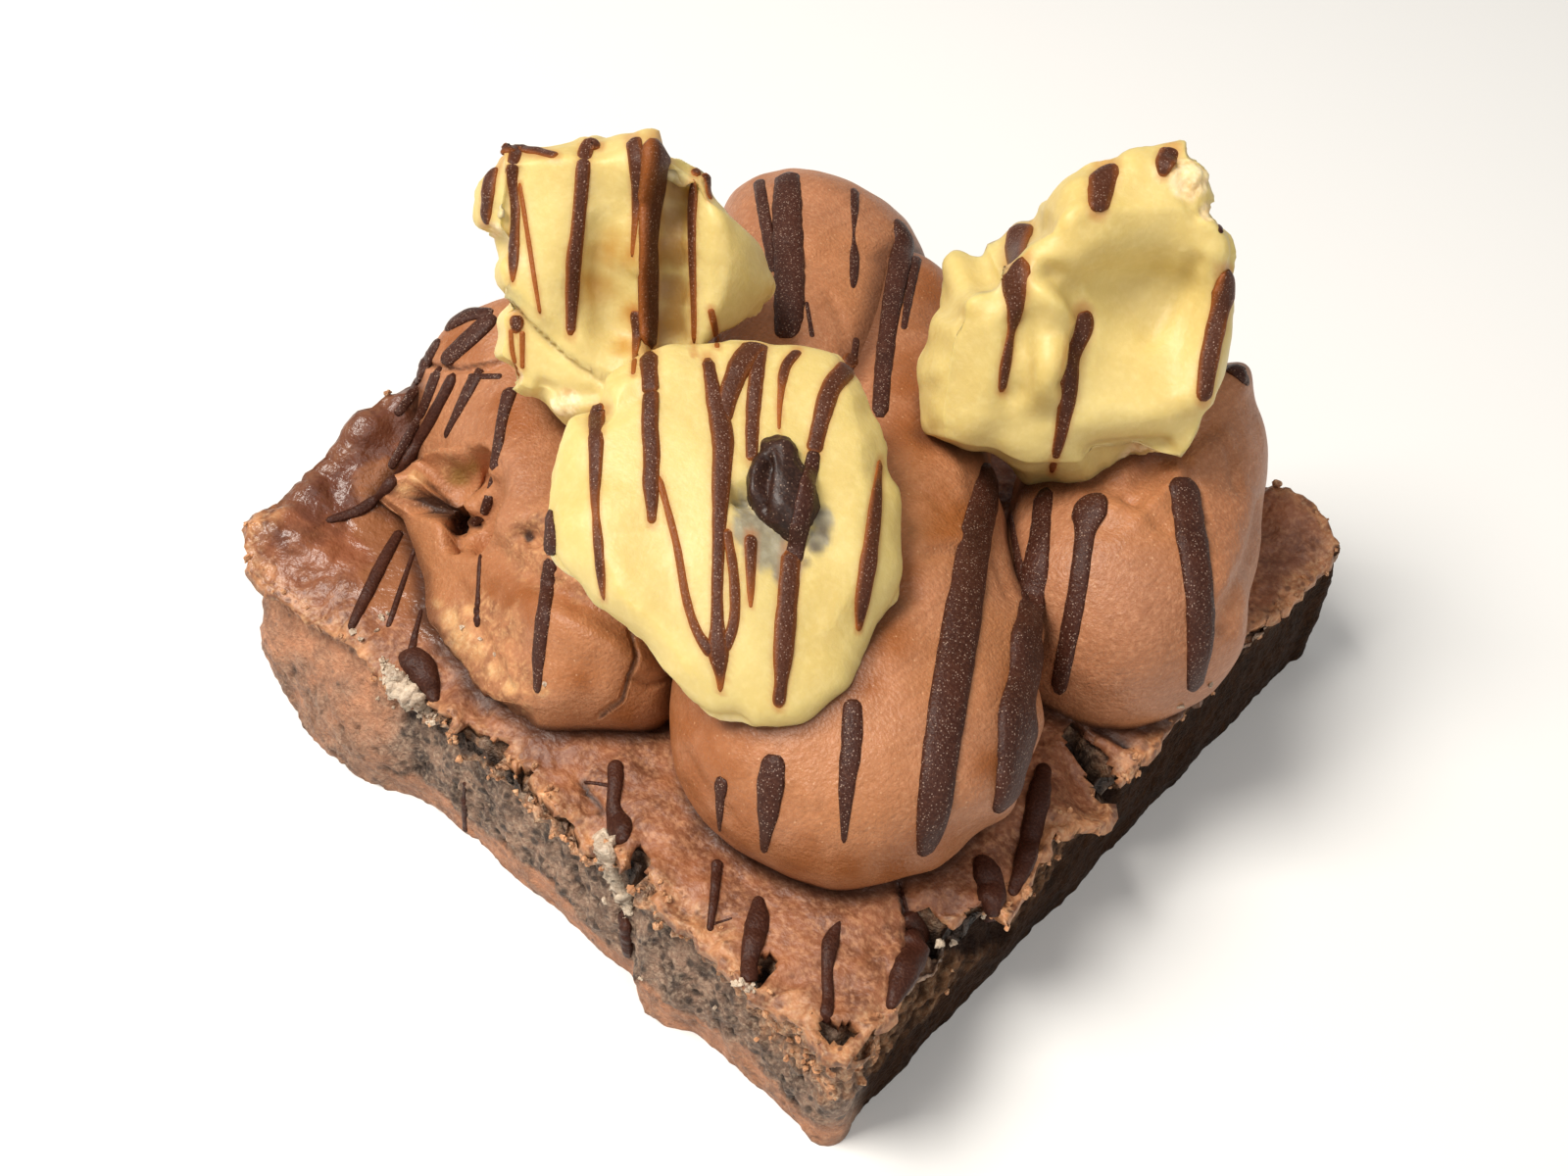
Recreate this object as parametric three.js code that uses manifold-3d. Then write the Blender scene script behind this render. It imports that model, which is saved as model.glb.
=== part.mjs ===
// A square of chocolate brownie with four piped ropes of milk chocolate buttercream, three lumps
// of cookie dough and a dark chocolate drizzle. Millimetres, +Z up; the slab stands on Z = 0 and
// its sides run along X and Y. The corner at +X, -Y is the one that faces forward.
import * as THREE from "three";
import { mergeVertices } from "three/addons/utils/BufferGeometryUtils.js";
import Module from "manifold-3d";

const wasm = await Module();
wasm.setup();

// Driving sizes
const SLAB_SIDE = 75;
const SLAB_HEIGHT = 15.5;
const CLEARANCE = 0.3; // between neighbouring pieces
const DETAIL = 0.05; // edges that change the shape by less than this are dropped

const CRUST_BROWN = 0x8a4f33;
const MILK_BROWN = 0x9a6244;
const DOUGH_YELLOW = 0xe9d27e;
const CHIP_BROWN = 0x2c1a14;

// A repeatable scatter value from 0 to 1 for a pair of whole numbers.
function scatter(i, j) {
  const s = Math.sin(i * 127.1 + j * 311.7) * 43758.5453;
  return s - Math.floor(s);
}

function smooth(t) {
  const c = Math.min(1, Math.max(0, t));
  return c * c * (3 - 2 * c);
}

// Smooth unevenness between -1 and 1 with bumps about `size` across.
function unevenness(x, y, size) {
  const u = x / size;
  const v = y / size;
  const i = Math.floor(u);
  const j = Math.floor(v);
  const a = smooth(u - i);
  const b = smooth(v - j);
  const low = scatter(i, j) * (1 - a) + scatter(i + 1, j) * a;
  const high = scatter(i, j + 1) * (1 - a) + scatter(i + 1, j + 1) * a;
  return 2 * (low * (1 - b) + high * b) - 1;
}

// Moves a point by each pull in turn: all of it at its place, none of it beyond its reach.
function pull(point, pulls) {
  for (const { at, by, reach } of pulls) {
    const near = smooth(1 - point.distanceTo(new THREE.Vector3(...at)) / reach);
    point.addScaledVector(new THREE.Vector3(...by), near);
  }
}

// Turns closed rings of points, first ring and last ring closed by a point each, into a geometry.
function skin(rings, start, end) {
  const count = rings[0].length;
  const points = [start, ...rings.flat(), end];
  const faces = [];
  const at = (ring, k) => 1 + ring * count + ((k + count) % count);
  for (let k = 0; k < count; k++) {
    faces.push(0, at(0, k), at(0, k + 1));
    for (let ring = 0; ring + 1 < rings.length; ring++) {
      faces.push(at(ring, k), at(ring + 1, k), at(ring + 1, k + 1));
      faces.push(at(ring, k), at(ring + 1, k + 1), at(ring, k + 1));
    }
    faces.push(points.length - 1, at(rings.length - 1, k + 1), at(rings.length - 1, k));
  }
  const geometry = new THREE.BufferGeometry().setFromPoints(points);
  geometry.setIndex(faces);
  geometry.computeVertexNormals();
  return geometry;
}

// A copy of a geometry with every point moved outwards along its normal.
function grown(geometry, by) {
  const copy = geometry.clone();
  const place = copy.getAttribute("position");
  const normal = copy.getAttribute("normal");
  for (let i = 0; i < place.count; i++) {
    place.setXYZ(
      i,
      place.getX(i) + by * normal.getX(i),
      place.getY(i) + by * normal.getY(i),
      place.getZ(i) + by * normal.getZ(i),
    );
  }
  return copy;
}

function solid(geometry) {
  const bare = geometry.clone();
  bare.deleteAttribute("normal");
  bare.deleteAttribute("uv");
  const merged = mergeVertices(bare, 1e-4);
  return new wasm.Manifold(
    new wasm.Mesh({
      numProp: 3,
      vertProperties: new Float32Array(merged.attributes.position.array),
      triVerts: new Uint32Array(merged.index.array),
    }),
  );
}

// The slab: rings from the middle of the top out to the crust's rim, down the sides and back in
// under the bottom. The thin crust stands out over the crumb at the top and ends in a ragged line,
// and the crumb spreads again to its foot. The side at -X and the end of the -Y side next to it
// were baked against the tray: the crust climbs there and the wall swells.
const SLAB = {
  steps: 22, // points along each side
  insets: [0.2, 0.42, 0.62, 0.78, 0.89, 0.96], // of the rings across the top, towards the rim
  crust: 1.7, // thickness of the crust
  brow: 0.3, // how far its edge lies below its top
  overhang: 1, // how far it stands out over the middle of the wall
  ragged: 1.1,
  tatters: 0.6, // unevenness of its lower edge
  undercut: 0.4,
  levels: [0.6, 0.32, 0.1], // of the rings down the wall, as a share of the height
  roughness: 0.3, // of the wall
  floorRound: 0.7, // how far the bottom edge is drawn in
  undulation: 0.5,
  undulationSize: 8,
};
// How far the foot of each wall stands out: at -Y, +X, +Y and -X.
const FOOT = [1.8, 0.9, 1.2, 0.4];
const SWELL = { depth: 2.4, x: -25, reach: 10, full: 5 }; // of the -Y and +Y walls
const TRAY_CLIMB = { height: 6.2, width: 9, least: 0.45, growth: 24 };
const RIGHT_CLIMB = { height: 2, width: 6, from: 12, growth: 20 }; // at the +Y side

// Places at the rim where the crust is torn away.
const TEARS = [
  { x: 36, y: -3.5, reach: 5, depth: 3 },
  { x: 37, y: -25, reach: 4, depth: 2 },
  { x: 9, y: -37, reach: 4, depth: 1.5 },
  { x: -12, y: -37.5, reach: 4, depth: 1.5 },
];

// Depth of the tears at a place.
function torn(x, y) {
  return TEARS.reduce(
    (sum, tear) => sum + tear.depth * smooth(1 - Math.hypot(x - tear.x, y - tear.y) / tear.reach),
    0,
  );
}

function slabRim(k) {
  const side = Math.floor(k / SLAB.steps);
  const half = SLAB_SIDE / 2 - SLAB.overhang;
  const run = -half + (2 * half * (k % SLAB.steps)) / SLAB.steps;
  const [x, y] = [[run, -half], [half, run], [-run, half], [-half, -run]][side];
  const [outX, outY] = [[0, -1], [1, 0], [0, 1], [-1, 0]][side];
  return { side, x, y, outX, outY };
}

function slabTop(x, y) {
  const half = SLAB_SIDE / 2;
  const { least, growth } = TRAY_CLIMB;
  const atTray = smooth(1 - (x + half) / TRAY_CLIMB.width);
  const growing = least + (1 - least) * smooth((y + half) / growth);
  const atRight = smooth(1 - (half - y) / RIGHT_CLIMB.width);
  return (
    SLAB_HEIGHT +
    SLAB.undulation * unevenness(x + 2 * half, y + half, SLAB.undulationSize) +
    TRAY_CLIMB.height * atTray * growing +
    RIGHT_CLIMB.height * atRight * smooth((x - RIGHT_CLIMB.from) / RIGHT_CLIMB.growth) -
    torn(x, y)
  );
}

// How far the wall stands out at a level from 0, the floor, to 1, the top.
function wall({ side, x, y }, level) {
  const near = smooth((SWELL.reach + SWELL.full - Math.abs(x - SWELL.x)) / SWELL.reach);
  const foot = FOOT[side] + (side % 2 === 0 ? SWELL.depth * near : 0);
  const rough = unevenness(x + y, SLAB_HEIGHT * level, SLAB.undulationSize / 2);
  return foot * smooth(1.4 - 1.3 * level) + SLAB.roughness * rough;
}

function slabGeometry() {
  const rim = Array.from({ length: 4 * SLAB.steps }, (_, k) => slabRim(k));
  const ring = (inset, stand, height) =>
    rim.map((place, k) => {
      const x = place.x * inset + place.outX * stand(place, k);
      const y = place.y * inset + place.outY * stand(place, k);
      return new THREE.Vector3(x, y, height(x, y, k));
    });
  const lip = (place, k) =>
    SLAB.overhang + SLAB.ragged * (scatter(k, 5) - 0.6) - 0.6 * torn(place.x, place.y);
  const under = (x, y) => slabTop(x, y) - SLAB.crust;
  const floor = () => 0;
  return skin(
    [
      ...SLAB.insets.map((inset) => ring(inset, floor, slabTop)),
      ring(1, lip, (x, y) => slabTop(x, y) - SLAB.brow),
      ring(1, lip, (x, y, k) => under(x, y) - SLAB.tatters * scatter(k, 9)),
      ring(1, (place) => wall(place, 0.85) - SLAB.undercut, (x, y) => under(x, y) - 0.8),
      ...SLAB.levels.map((level) =>
        ring(1, (place) => wall(place, level), () => level * SLAB_HEIGHT),
      ),
      ring(1, (place) => wall(place, 0) - SLAB.floorRound, floor),
      ring(0.5, floor, floor),
    ],
    new THREE.Vector3(0, 0, slabTop(0, 0)),
    new THREE.Vector3(0, 0, 0),
  );
}

// A rope of buttercream piped over the slab, its path given by stations of x, y, width and height
// above the slab, from the back to the front. Both ends are rounded over half the rope's width.
const ROPE_SIDES = 18;
const ROPE_RINGS = 9; // along the path
const ROPE_END_RINGS = 4; // in each rounded end
const ROPE_WAIST = 0.36; // level of the widest line, as a share of the height
const ROPE_FOOT = 2; // depth below the waist, of which the slab cuts off the lower half
const TRAY_WALL = 0.5 - SLAB_SIDE / 2; // no rope reaches past this x

function ropeGeometry({ stations, noses = [1, 1], pulls = [] }) {
  const line = new THREE.CatmullRomCurve3(stations.map(([x, y]) => new THREE.Vector3(x, y, 0)));
  const sizes = new THREE.CatmullRomCurve3(
    stations.map(([, , width, height]) => new THREE.Vector3(width, height, 0)),
  );
  const slice = (u, beyond, shrink) => {
    const { x: width, y: height } = sizes.getPoint(u);
    const ahead = line.getTangent(u);
    const waist = ROPE_WAIST * height;
    const middle = line.getPoint(u).addScaledVector(ahead, beyond * (width / 2));
    return Array.from({ length: ROPE_SIDES }, (_, k) => {
      const angle = (2 * Math.PI * k) / ROPE_SIDES;
      const across = (width / 2) * shrink * Math.cos(angle);
      const reach = Math.sin(angle) > 0 ? height - waist : ROPE_FOOT * waist;
      return new THREE.Vector3(
        Math.max(middle.x + ahead.y * across, TRAY_WALL),
        middle.y - ahead.x * across,
        SLAB_HEIGHT + waist + reach * shrink * Math.sin(angle),
      );
    });
  };
  const ends = Array.from({ length: ROPE_END_RINGS }, (_, i) => {
    const turn = ((i + 1) * Math.PI) / (2 * (ROPE_END_RINGS + 1));
    return [Math.cos(turn), Math.sin(turn)];
  });
  const [first, last] = noses;
  const rings = [
    ...ends.map(([beyond, shrink]) => slice(0, -beyond * first, shrink)),
    ...Array.from({ length: ROPE_RINGS }, (_, i) => slice(i / (ROPE_RINGS - 1), 0, 1)),
    ...ends.reverse().map(([beyond, shrink]) => slice(1, beyond * last, shrink)),
  ];
  rings.flat().forEach((point) => pull(point, pulls));
  return skin(rings, slice(0, -first, 0)[0], slice(1, last, 0)[0]);
}

const ROPES = {
  frosting_back: { stations: [[-18, 20.5, 24.5, 20.5], [-9, 8.5, 24.5, 19.5], [-2, -1, 22, 17]] },
  frosting_front: {
    stations: [[-8, 20, 19, 18], [3, 7, 20, 18.5], [12, -6, 27, 18.5], [19.5, -16.5, 31.5, 17]],
  },
  frosting_right: { stations: [[17, 27, 20, 17], [22, 21.5, 22.5, 18.5], [27.6, 10, 23, 17.5]] },
  frosting_left: {
    stations: [[-30, -6.5, 24, 15], [-19, -15.5, 26.5, 13.5], [-5.5, -24, 21, 12.5]],
    noses: [0.6, 1],
    pulls: [{ at: [-20, -25, 25], by: [3, 1, -4], reach: 6 }],
  },
};

// A lump of dough: a cube drawn towards a ball, stretched to its radii, then pulled at a few
// places and turned. Its own x axis runs to the front, y to its right and z up.
const LUMP_CELLS = 8; // across each face of the cube
const LUMP_BALL = 1.06; // radius of the ball that the cube is drawn towards

function lumpGeometry({ radii, roundness, pulls, turn, centre, cells = LUMP_CELLS }) {
  const cube = new THREE.BoxGeometry(2, 2, 2, cells, cells, cells);
  cube.deleteAttribute("normal");
  cube.deleteAttribute("uv");
  const whole = mergeVertices(cube, 1e-4);
  const place = whole.getAttribute("position");
  const point = new THREE.Vector3();
  for (let i = 0; i < place.count; i++) {
    point.fromBufferAttribute(place, i);
    point.lerp(point.clone().setLength(LUMP_BALL), roundness).multiply(new THREE.Vector3(...radii));
    pull(point, pulls);
    place.setXYZ(i, point.x, point.y, point.z);
  }
  const [x, y, z] = turn.map(THREE.MathUtils.degToRad);
  whole.applyMatrix4(new THREE.Matrix4().makeRotationFromEuler(new THREE.Euler(x, y, z, "ZYX")));
  whole.translate(...centre);
  whole.computeVertexNormals();
  return whole;
}

// The chip that shows in the front lump lies on its side, its tip up the slope.
const CHIP = {
  radii: [5, 2.6, 2.6],
  roundness: 0.85,
  pulls: [
    { at: [-5, 2.6, 1], by: [0, -0.9, 0.3], reach: 5 },
    { at: [-5, -2.6, 1], by: [0, 0.9, 0.3], reach: 5 },
    { at: [1.5, 3, 0], by: [0, 0.6, 0], reach: 4 },
    { at: [-4, 0, 2], by: [0, 0, 0.7], reach: 4 },
  ],
  turn: [6, 22, -38],
  centre: [9.3, -16, 40.1],
  cells: 5,
};

const LUMPS = {
  dough_front: {
    radii: [15.5, 13.6, 4.2],
    roundness: 0.9,
    pulls: [
      { at: [13, -11, 0], by: [-1.2, 2.6, 0], reach: 9 },
      { at: [13, 11, 0], by: [-0.5, -1.4, 0], reach: 9 },
      { at: [16, 2, 0], by: [1.6, 0.8, 0], reach: 8 },
      { at: [-4, -14, 0], by: [0, -1.5, 0], reach: 9 },
      { at: [-12, 9, 0], by: [-1, 1, 0], reach: 8 },
      { at: [-7, 0, -5], by: [3, 0, -8], reach: 11 },
    ],
    turn: [0, 22, -48],
    centre: [6, -18.4, 36.5],
  },
  dough_left: {
    radii: [6.5, 10.8, 10.8],
    roundness: 0.55,
    pulls: [
      { at: [0, 11, 2], by: [0, 4, -1], reach: 9 },
      { at: [0, 10, -10], by: [0, -3, 3], reach: 8 },
      { at: [0, 10, 10], by: [0, -3, -2], reach: 7 },
      { at: [4, -9, -10], by: [2, 0.5, -3], reach: 9 },
      { at: [3, 1, -10], by: [3, 0, -4], reach: 9 },
      { at: [0, -11, 5], by: [0, -1.5, -1], reach: 5 },
      { at: [7, 3, 6], by: [-2, 0, 0], reach: 5 },
      { at: [7, 3, 0], by: [-2, 0, 0], reach: 5 },
      { at: [7, 3, -5], by: [-2, 0, 0], reach: 5 },
      { at: [-5, 0, -10], by: [-1, 0, -7], reach: 10 },
    ],
    turn: [0, -30, -50],
    centre: [-20, -6.5, 40.8],
  },
  dough_right: {
    radii: [6.5, 13, 13],
    roundness: 0.6,
    pulls: [
      { at: [0, 7, 13], by: [0, 1.5, 4], reach: 8 },
      { at: [0, -11, 11], by: [0, 4.5, -7], reach: 14 },
      { at: [0, -13, -9], by: [1, -2.5, 1], reach: 9 },
      { at: [0, 12, -11], by: [0, -1, 1], reach: 8 },
      { at: [0, 2, -13], by: [0, 0, -1.5], reach: 7 },
      { at: [8, 5, 4], by: [-5, 0, 0], reach: 10 },
      { at: [7, -3, -3], by: [2, 0, 0], reach: 4 },
      { at: [-6, 0, -10], by: [-1, 0, -6], reach: 9 },
    ],
    turn: [0, -28, -50],
    centre: [14.8, 15, 42],
  },
};

// The drizzle on each piece, every line given by x and y at its start, x and y at its end and its
// width. It lies where it would fall from above.
const DRIZZLE = {
  brownie: [
    [-28, -26, -23, -36.5, 1.4],
    [-18, -31.5, -13.5, -36.5, 3],
    [6, -31.5, 12, -37, 2.6],
    [18.5, -32, 22, -36.8, 1.2],
    [23.5, -32.5, 27.5, -37.5, 2.4],
    [29, -30, 35, -37, 1.9],
    [33, -25, 36.5, -28, 2.6],
    [34.5, -17, 37, -19.5, 2.4],
    [32.5, -6.5, 37, -16, 2.2],
  ],
  dough_front: [
    [-6, -21.5, 4.5, -31, 1.2],
    [-4, -18, 3.7, -25.2, 1.6],
    [-2.5, -12, 14.5, -28.5, 1.6],
    [-1, -8.5, 1.6, -14, 1.4],
    [5.5, -4, 11, -14, 1.9],
    [14, -20, 19.5, -26.5, 1.4],
    [12.5, -8.7, 19.8, -17.8, 1.1],
  ],
  dough_left: [
    [-27, -11.5, -22, -15.5, 1.4],
    [-23, -6, -16, -14.5, 1.6],
    [-21.5, -2, -15.8, -7.5, 1.3],
    [-20.5, 0, -13, -9, 2.4],
    [-17, 2, -10, -6, 1],
  ],
  dough_right: [
    [9.5, 12, 14, 6.5, 2.1],
    [16.5, 12.5, 20, 7, 1.6],
    [12, 18, 14.6, 15.3, 1.7],
    [14.8, 23.7, 16.6, 21, 1.2],
    [23.3, 22.8, 27.4, 16.6, 1.7],
  ],
  frosting_back: [
    [-22.5, 24.5, -6, 2.5, 2.6],
    [-27.5, 20, -10.5, 4.5, 1.2],
    [-14, 27, 2, 4, 1.6],
  ],
  frosting_front: [
    [16.5, 5, 32.5, -24.5, 3.1],
    [19.5, 3.5, 34, -15, 3],
    [20.5, -28.5, 23.5, -32, 2.2],
    [22.9, -22, 28.5, -29.5, 2],
  ],
  frosting_right: [
    [23.5, 8.5, 28.5, 0, 2.6],
    [28, 15.5, 37.5, 6.5, 2.6],
  ],
  frosting_left: [
    [-32, -15.5, -29.5, -22, 1.1],
    [-19.5, -21, -17, -27.5, 1.2],
    [-9, -25.5, -1.5, -33, 1.7],
  ],
};
const LINE_SIZES = [0.8, 1.1, 0.95, 0.9, 0.55]; // of the width, from the start to the end
const LINE_SIDES = 4;
const LINE_RISE = 0.42; // height over the surface, as a share of the width

const caster = new THREE.Raycaster();
const DOWN = new THREE.Vector3(0, 0, -1);
const ABOVE = 100; // higher than every piece

// Where a point that falls at x, y meets the surface, and the way the surface faces there.
function landing(surface, x, y) {
  caster.set(new THREE.Vector3(x, y, ABOVE), DOWN);
  const [hit] = caster.intersectObject(surface);
  return hit && { place: hit.point, normal: hit.face.normal };
}

function lineGeometry(surface, [startX, startY, endX, endY, width]) {
  const last = LINE_SIZES.length - 1;
  const landings = LINE_SIZES.map((_, i) =>
    landing(surface, startX + ((endX - startX) * i) / last, startY + ((endY - startY) * i) / last),
  ).filter(Boolean);
  const along = (i) => {
    const to = landings[Math.min(i + 1, landings.length - 1)].place;
    return to.clone().sub(landings[Math.max(i - 1, 0)].place).normalize();
  };
  const rings = landings.map(({ place, normal }, i) => {
    const side = along(i).cross(normal).normalize();
    return Array.from({ length: LINE_SIDES }, (_, k) => {
      const angle = Math.PI / 2 + (2 * Math.PI * k) / LINE_SIDES;
      return place
        .clone()
        .addScaledVector(side, (width / 2) * LINE_SIZES[i] * Math.cos(angle))
        .addScaledVector(normal, LINE_RISE * width * LINE_SIZES[i] * Math.sin(angle));
    });
  });
  const tip = (i, sign) => landings[i].place.clone().addScaledVector(along(i), (sign * width) / 3);
  return skin(rings, tip(0, -1), tip(landings.length - 1, 1));
}

// The largest body of a solid, so that no scrap is left by a cut.
function largest(shape) {
  return shape.decompose().sort((a, b) => b.volume() - a.volume())[0];
}

const group = new THREE.Group();
const clearances = []; // each finished piece with its clearance around it

// Joins a piece and its drizzle, cuts away what earlier pieces take up and adds it to the group.
function addPiece(name, geometry, colour) {
  const surface = new THREE.Mesh(geometry);
  const parts = [geometry, ...(DRIZZLE[name] ?? []).map((line) => lineGeometry(surface, line))];
  const whole = wasm.Manifold.union(parts.map(solid));
  const piece = clearances.reduce((left, other) => left.subtract(other), whole);
  clearances.push(wasm.Manifold.union(parts.map((part) => solid(grown(part, CLEARANCE)))));

  const { numProp, vertProperties, triVerts } = largest(largest(piece).simplify(DETAIL)).getMesh();
  const points = new Float32Array((vertProperties.length / numProp) * 3);
  for (let i = 0; i * numProp < vertProperties.length; i++) {
    points.set(vertProperties.subarray(i * numProp, i * numProp + 3), i * 3);
  }
  const finished = new THREE.BufferGeometry();
  finished.setAttribute("position", new THREE.BufferAttribute(points, 3));
  finished.setIndex(new THREE.BufferAttribute(triVerts, 1));
  finished.computeVertexNormals();
  const material = new THREE.MeshStandardMaterial({ color: colour, roughness: 0.7 });
  const mesh = new THREE.Mesh(finished, material);
  mesh.name = name;
  group.add(mesh);
}

addPiece("brownie", slabGeometry(), CRUST_BROWN);
addPiece("chocolate_chip", lumpGeometry(CHIP), CHIP_BROWN);
for (const [name, lump] of Object.entries(LUMPS)) {
  addPiece(name, lumpGeometry(lump), DOUGH_YELLOW);
}
for (const [name, rope] of Object.entries(ROPES)) {
  addPiece(name, ropeGeometry(rope), MILK_BROWN);
}

export default group;
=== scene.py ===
import math

import bpy
import numpy as np
from mathutils import Euler, Matrix, Vector, noise
from mathutils.bvhtree import BVHTree


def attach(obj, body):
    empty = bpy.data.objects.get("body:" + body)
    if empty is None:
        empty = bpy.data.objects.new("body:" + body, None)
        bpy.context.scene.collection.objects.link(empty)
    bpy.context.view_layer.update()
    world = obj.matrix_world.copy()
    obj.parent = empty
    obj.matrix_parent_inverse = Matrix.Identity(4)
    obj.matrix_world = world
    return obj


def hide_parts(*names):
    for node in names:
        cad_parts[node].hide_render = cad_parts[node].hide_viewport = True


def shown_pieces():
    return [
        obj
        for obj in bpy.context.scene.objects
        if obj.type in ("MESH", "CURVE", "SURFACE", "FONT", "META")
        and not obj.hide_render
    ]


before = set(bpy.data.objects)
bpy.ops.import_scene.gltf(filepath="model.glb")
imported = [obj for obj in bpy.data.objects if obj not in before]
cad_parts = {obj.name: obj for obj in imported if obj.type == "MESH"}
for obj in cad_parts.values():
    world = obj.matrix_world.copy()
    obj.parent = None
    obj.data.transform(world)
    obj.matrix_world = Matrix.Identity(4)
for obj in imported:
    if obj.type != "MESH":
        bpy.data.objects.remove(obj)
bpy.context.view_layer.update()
bpy.ops.object.select_all(action="DESELECT")

# The place that the photograph was taken from: a telephone held close, so the near corner of the
# slab looks much larger than the far one. Shapes and drizzle further down are placed by the
# pixels they show at, so this comes first. Millimetres, as all the making is.
PHOTO_SIZE = (1600, 1200)
FOCAL_PIXELS = 1800
CAMERA_PLACE = np.array((72.0, -93.9, 136.5))
CAMERA_AZIMUTH, CAMERA_ELEVATION, CAMERA_ROLL = np.radians((38.4, 47.1, 5.0))
SENSOR_WIDTH = 36
NEAREST_SEEN = 5
MM = 0.001

level_right = np.array((math.cos(CAMERA_AZIMUTH), math.sin(CAMERA_AZIMUTH), 0))
outward = np.array((math.sin(CAMERA_AZIMUTH), -math.cos(CAMERA_AZIMUTH), 0))
VIEW_BACK = outward * math.cos(CAMERA_ELEVATION) + np.array((0, 0, math.sin(CAMERA_ELEVATION)))
level_up = np.cross(VIEW_BACK, level_right)
VIEW_RIGHT = math.cos(CAMERA_ROLL) * level_right + math.sin(CAMERA_ROLL) * level_up
VIEW_UP = math.cos(CAMERA_ROLL) * level_up - math.sin(CAMERA_ROLL) * level_right

camera = bpy.data.objects.new("camera", bpy.data.cameras.new("camera"))
bpy.context.scene.collection.objects.link(camera)
camera.data.sensor_width = SENSOR_WIDTH
camera.data.lens = SENSOR_WIDTH * FOCAL_PIXELS / PHOTO_SIZE[0]
camera.data.clip_start = NEAREST_SEEN * MM
camera_axes = Matrix((VIEW_RIGHT, VIEW_UP, VIEW_BACK)).transposed().to_4x4()
camera.matrix_world = Matrix.Translation(CAMERA_PLACE * MM) @ camera_axes
bpy.context.scene.camera = camera
bpy.context.scene.view_settings.view_transform = "Standard"

# The baked slab's crumb, a fudgy block cut from a tray: dark and torn along the side that was
# broken open, smooth on the sides that were sliced, and pale baked skin where it lay against the
# tray. It is a block cut finely at its sides, its walls then pushed out and roughened.
SLAB_SIDE = 75
SLAB_HEIGHT = 15.5
WAVE_HEIGHT = 0.5
WAVE_LENGTH = 8
TRAY_CLIMB = 6.2
TRAY_CLIMB_WIDTH = 9
CLIMB_AT_FRONT = 0.45  # of the whole climb
CLIMB_GROWS_OVER = 24
RIGHT_LIFT = 2
# Dips where the crust is torn: place, reach and depth.
TEARS = ((36, -3.5, 5, 3), (37, -25, 4, 2.0), (9, -37, 4, 1.5), (-12, -37.5, 4, 1.5))
CRUMB_HALF = 36.4
CRUMB_RIM = 0.7
CRUMB_UNDER_CRUST = 1.1
CRUMB_CORNER = 1.2
ROUND_CORNER = 5.0
SHARP_CORNER = 0.8
FOOT = 1.0
FOOT_SWELL = 3.0
FOOT_SWELL_PLACE = -25
FOOT_CRUMB = 1.3
FOOT_CRUMB_PLACE = 18.5
SKIN_ENDS = -13
LOW_SKIN = 0.26  # of the height
NEAR_CUT = -36
WALL_BAYS = (-0.6, -0.2, 0.2, 0.6)
WALL_CUTS = 24
WALL_NUDGES = (((284, 708), (297, 702), 60), ((1352, 594), (1358, 592), 34))
# Where the baked skin of the near left side has rubbed thin: pixel and reach in pixels.
THIN_SKIN = ((326, 668, 24), (356, 700, 34), (390, 738, 36), (420, 770, 30), (300, 650, 12))
# Where crust has come away over hollow crumb: half width, depth and the line of pixels it follows.
HOLLOWS = (
    (0.6, 3.6, ((1096, 748), (1110, 770), (1122, 790), (1126, 806))),
    (0.9, 3.2, ((944, 948), (960, 956), (985, 952), (1006, 940))),
    (0.55, 3.0, ((652, 876), (650, 890), (656, 906))),
    (0.35, 1.8, ((774, 1000), (780, 990), (782, 980))),
    (0.35, 2.0, ((430, 724), (446, 732), (462, 740))),
    (0.4, 2.2, ((476, 744), (492, 756), (508, 764))),
    (0.35, 1.8, ((528, 784), (540, 800))),
    (0.35, 1.6, ((846, 1050), (856, 1056), (866, 1050))),
)
# Roughness, strength and depth of the relief, then its fine scale, coarse scale and fine share.
CRUMB_SURFACE = (0.5, 1.0, 0.0007, 3000.0, 900.0, 0.5)
# Main, patch and speck colours, then the scale and share of the patches and of the specks.
FUDGE = ((140, 110, 90), (60, 45, 37), (206, 180, 154), 460.0, 0.95, 2400.0, 0.45)
BAKED_SKIN = ((176, 120, 86), (116, 78, 56), (220, 168, 130), 420.0, 0.75, 1900.0, 0.4)
LOOSE_CRUMB = ((196, 142, 102), (102, 66, 44), (240, 208, 170), 700.0, 0.95, 2400.0, 0.55)
# The sliced sides: a dark cut crumb, darkened further as painted shade.
SLICED_SIDE = ((46, 26, 12), (29, 16, 7), (84, 56, 32), 380.0, 0.8, 1900.0, 0.3)
# Scale, size and share of the pores, then their colour.
FUDGE_PORES = (900.0, 0.6, 0.8, (38, 27, 22))
SKIN_PORES = (760.0, 0.34, 0.6, (84, 56, 42))
LOOSE_PORES = (1100.0, 0.55, 0.8, (70, 42, 28))
# Painted shade in the hollows under the torn crust and in the crumb's pits.
HOLLOW_DARK = (34, 22, 17)
# Size and seed of the crumb's coarse, middling and fine grain, then how far each stands out.
CRUMB_GRAINS = ((1.7, 2), (0.8, 3), (0.4, 4))
COARSE_RISE, MIDDLING_RISE, FINE_RISE, PIT_DEPTH = 0.55, 0.4, 0.2, 0.7
PIT_SIZE, LOOSE_PIT_SIZE = 1.5, 1.1
CRUMBLY_RISE = 1.5
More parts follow.
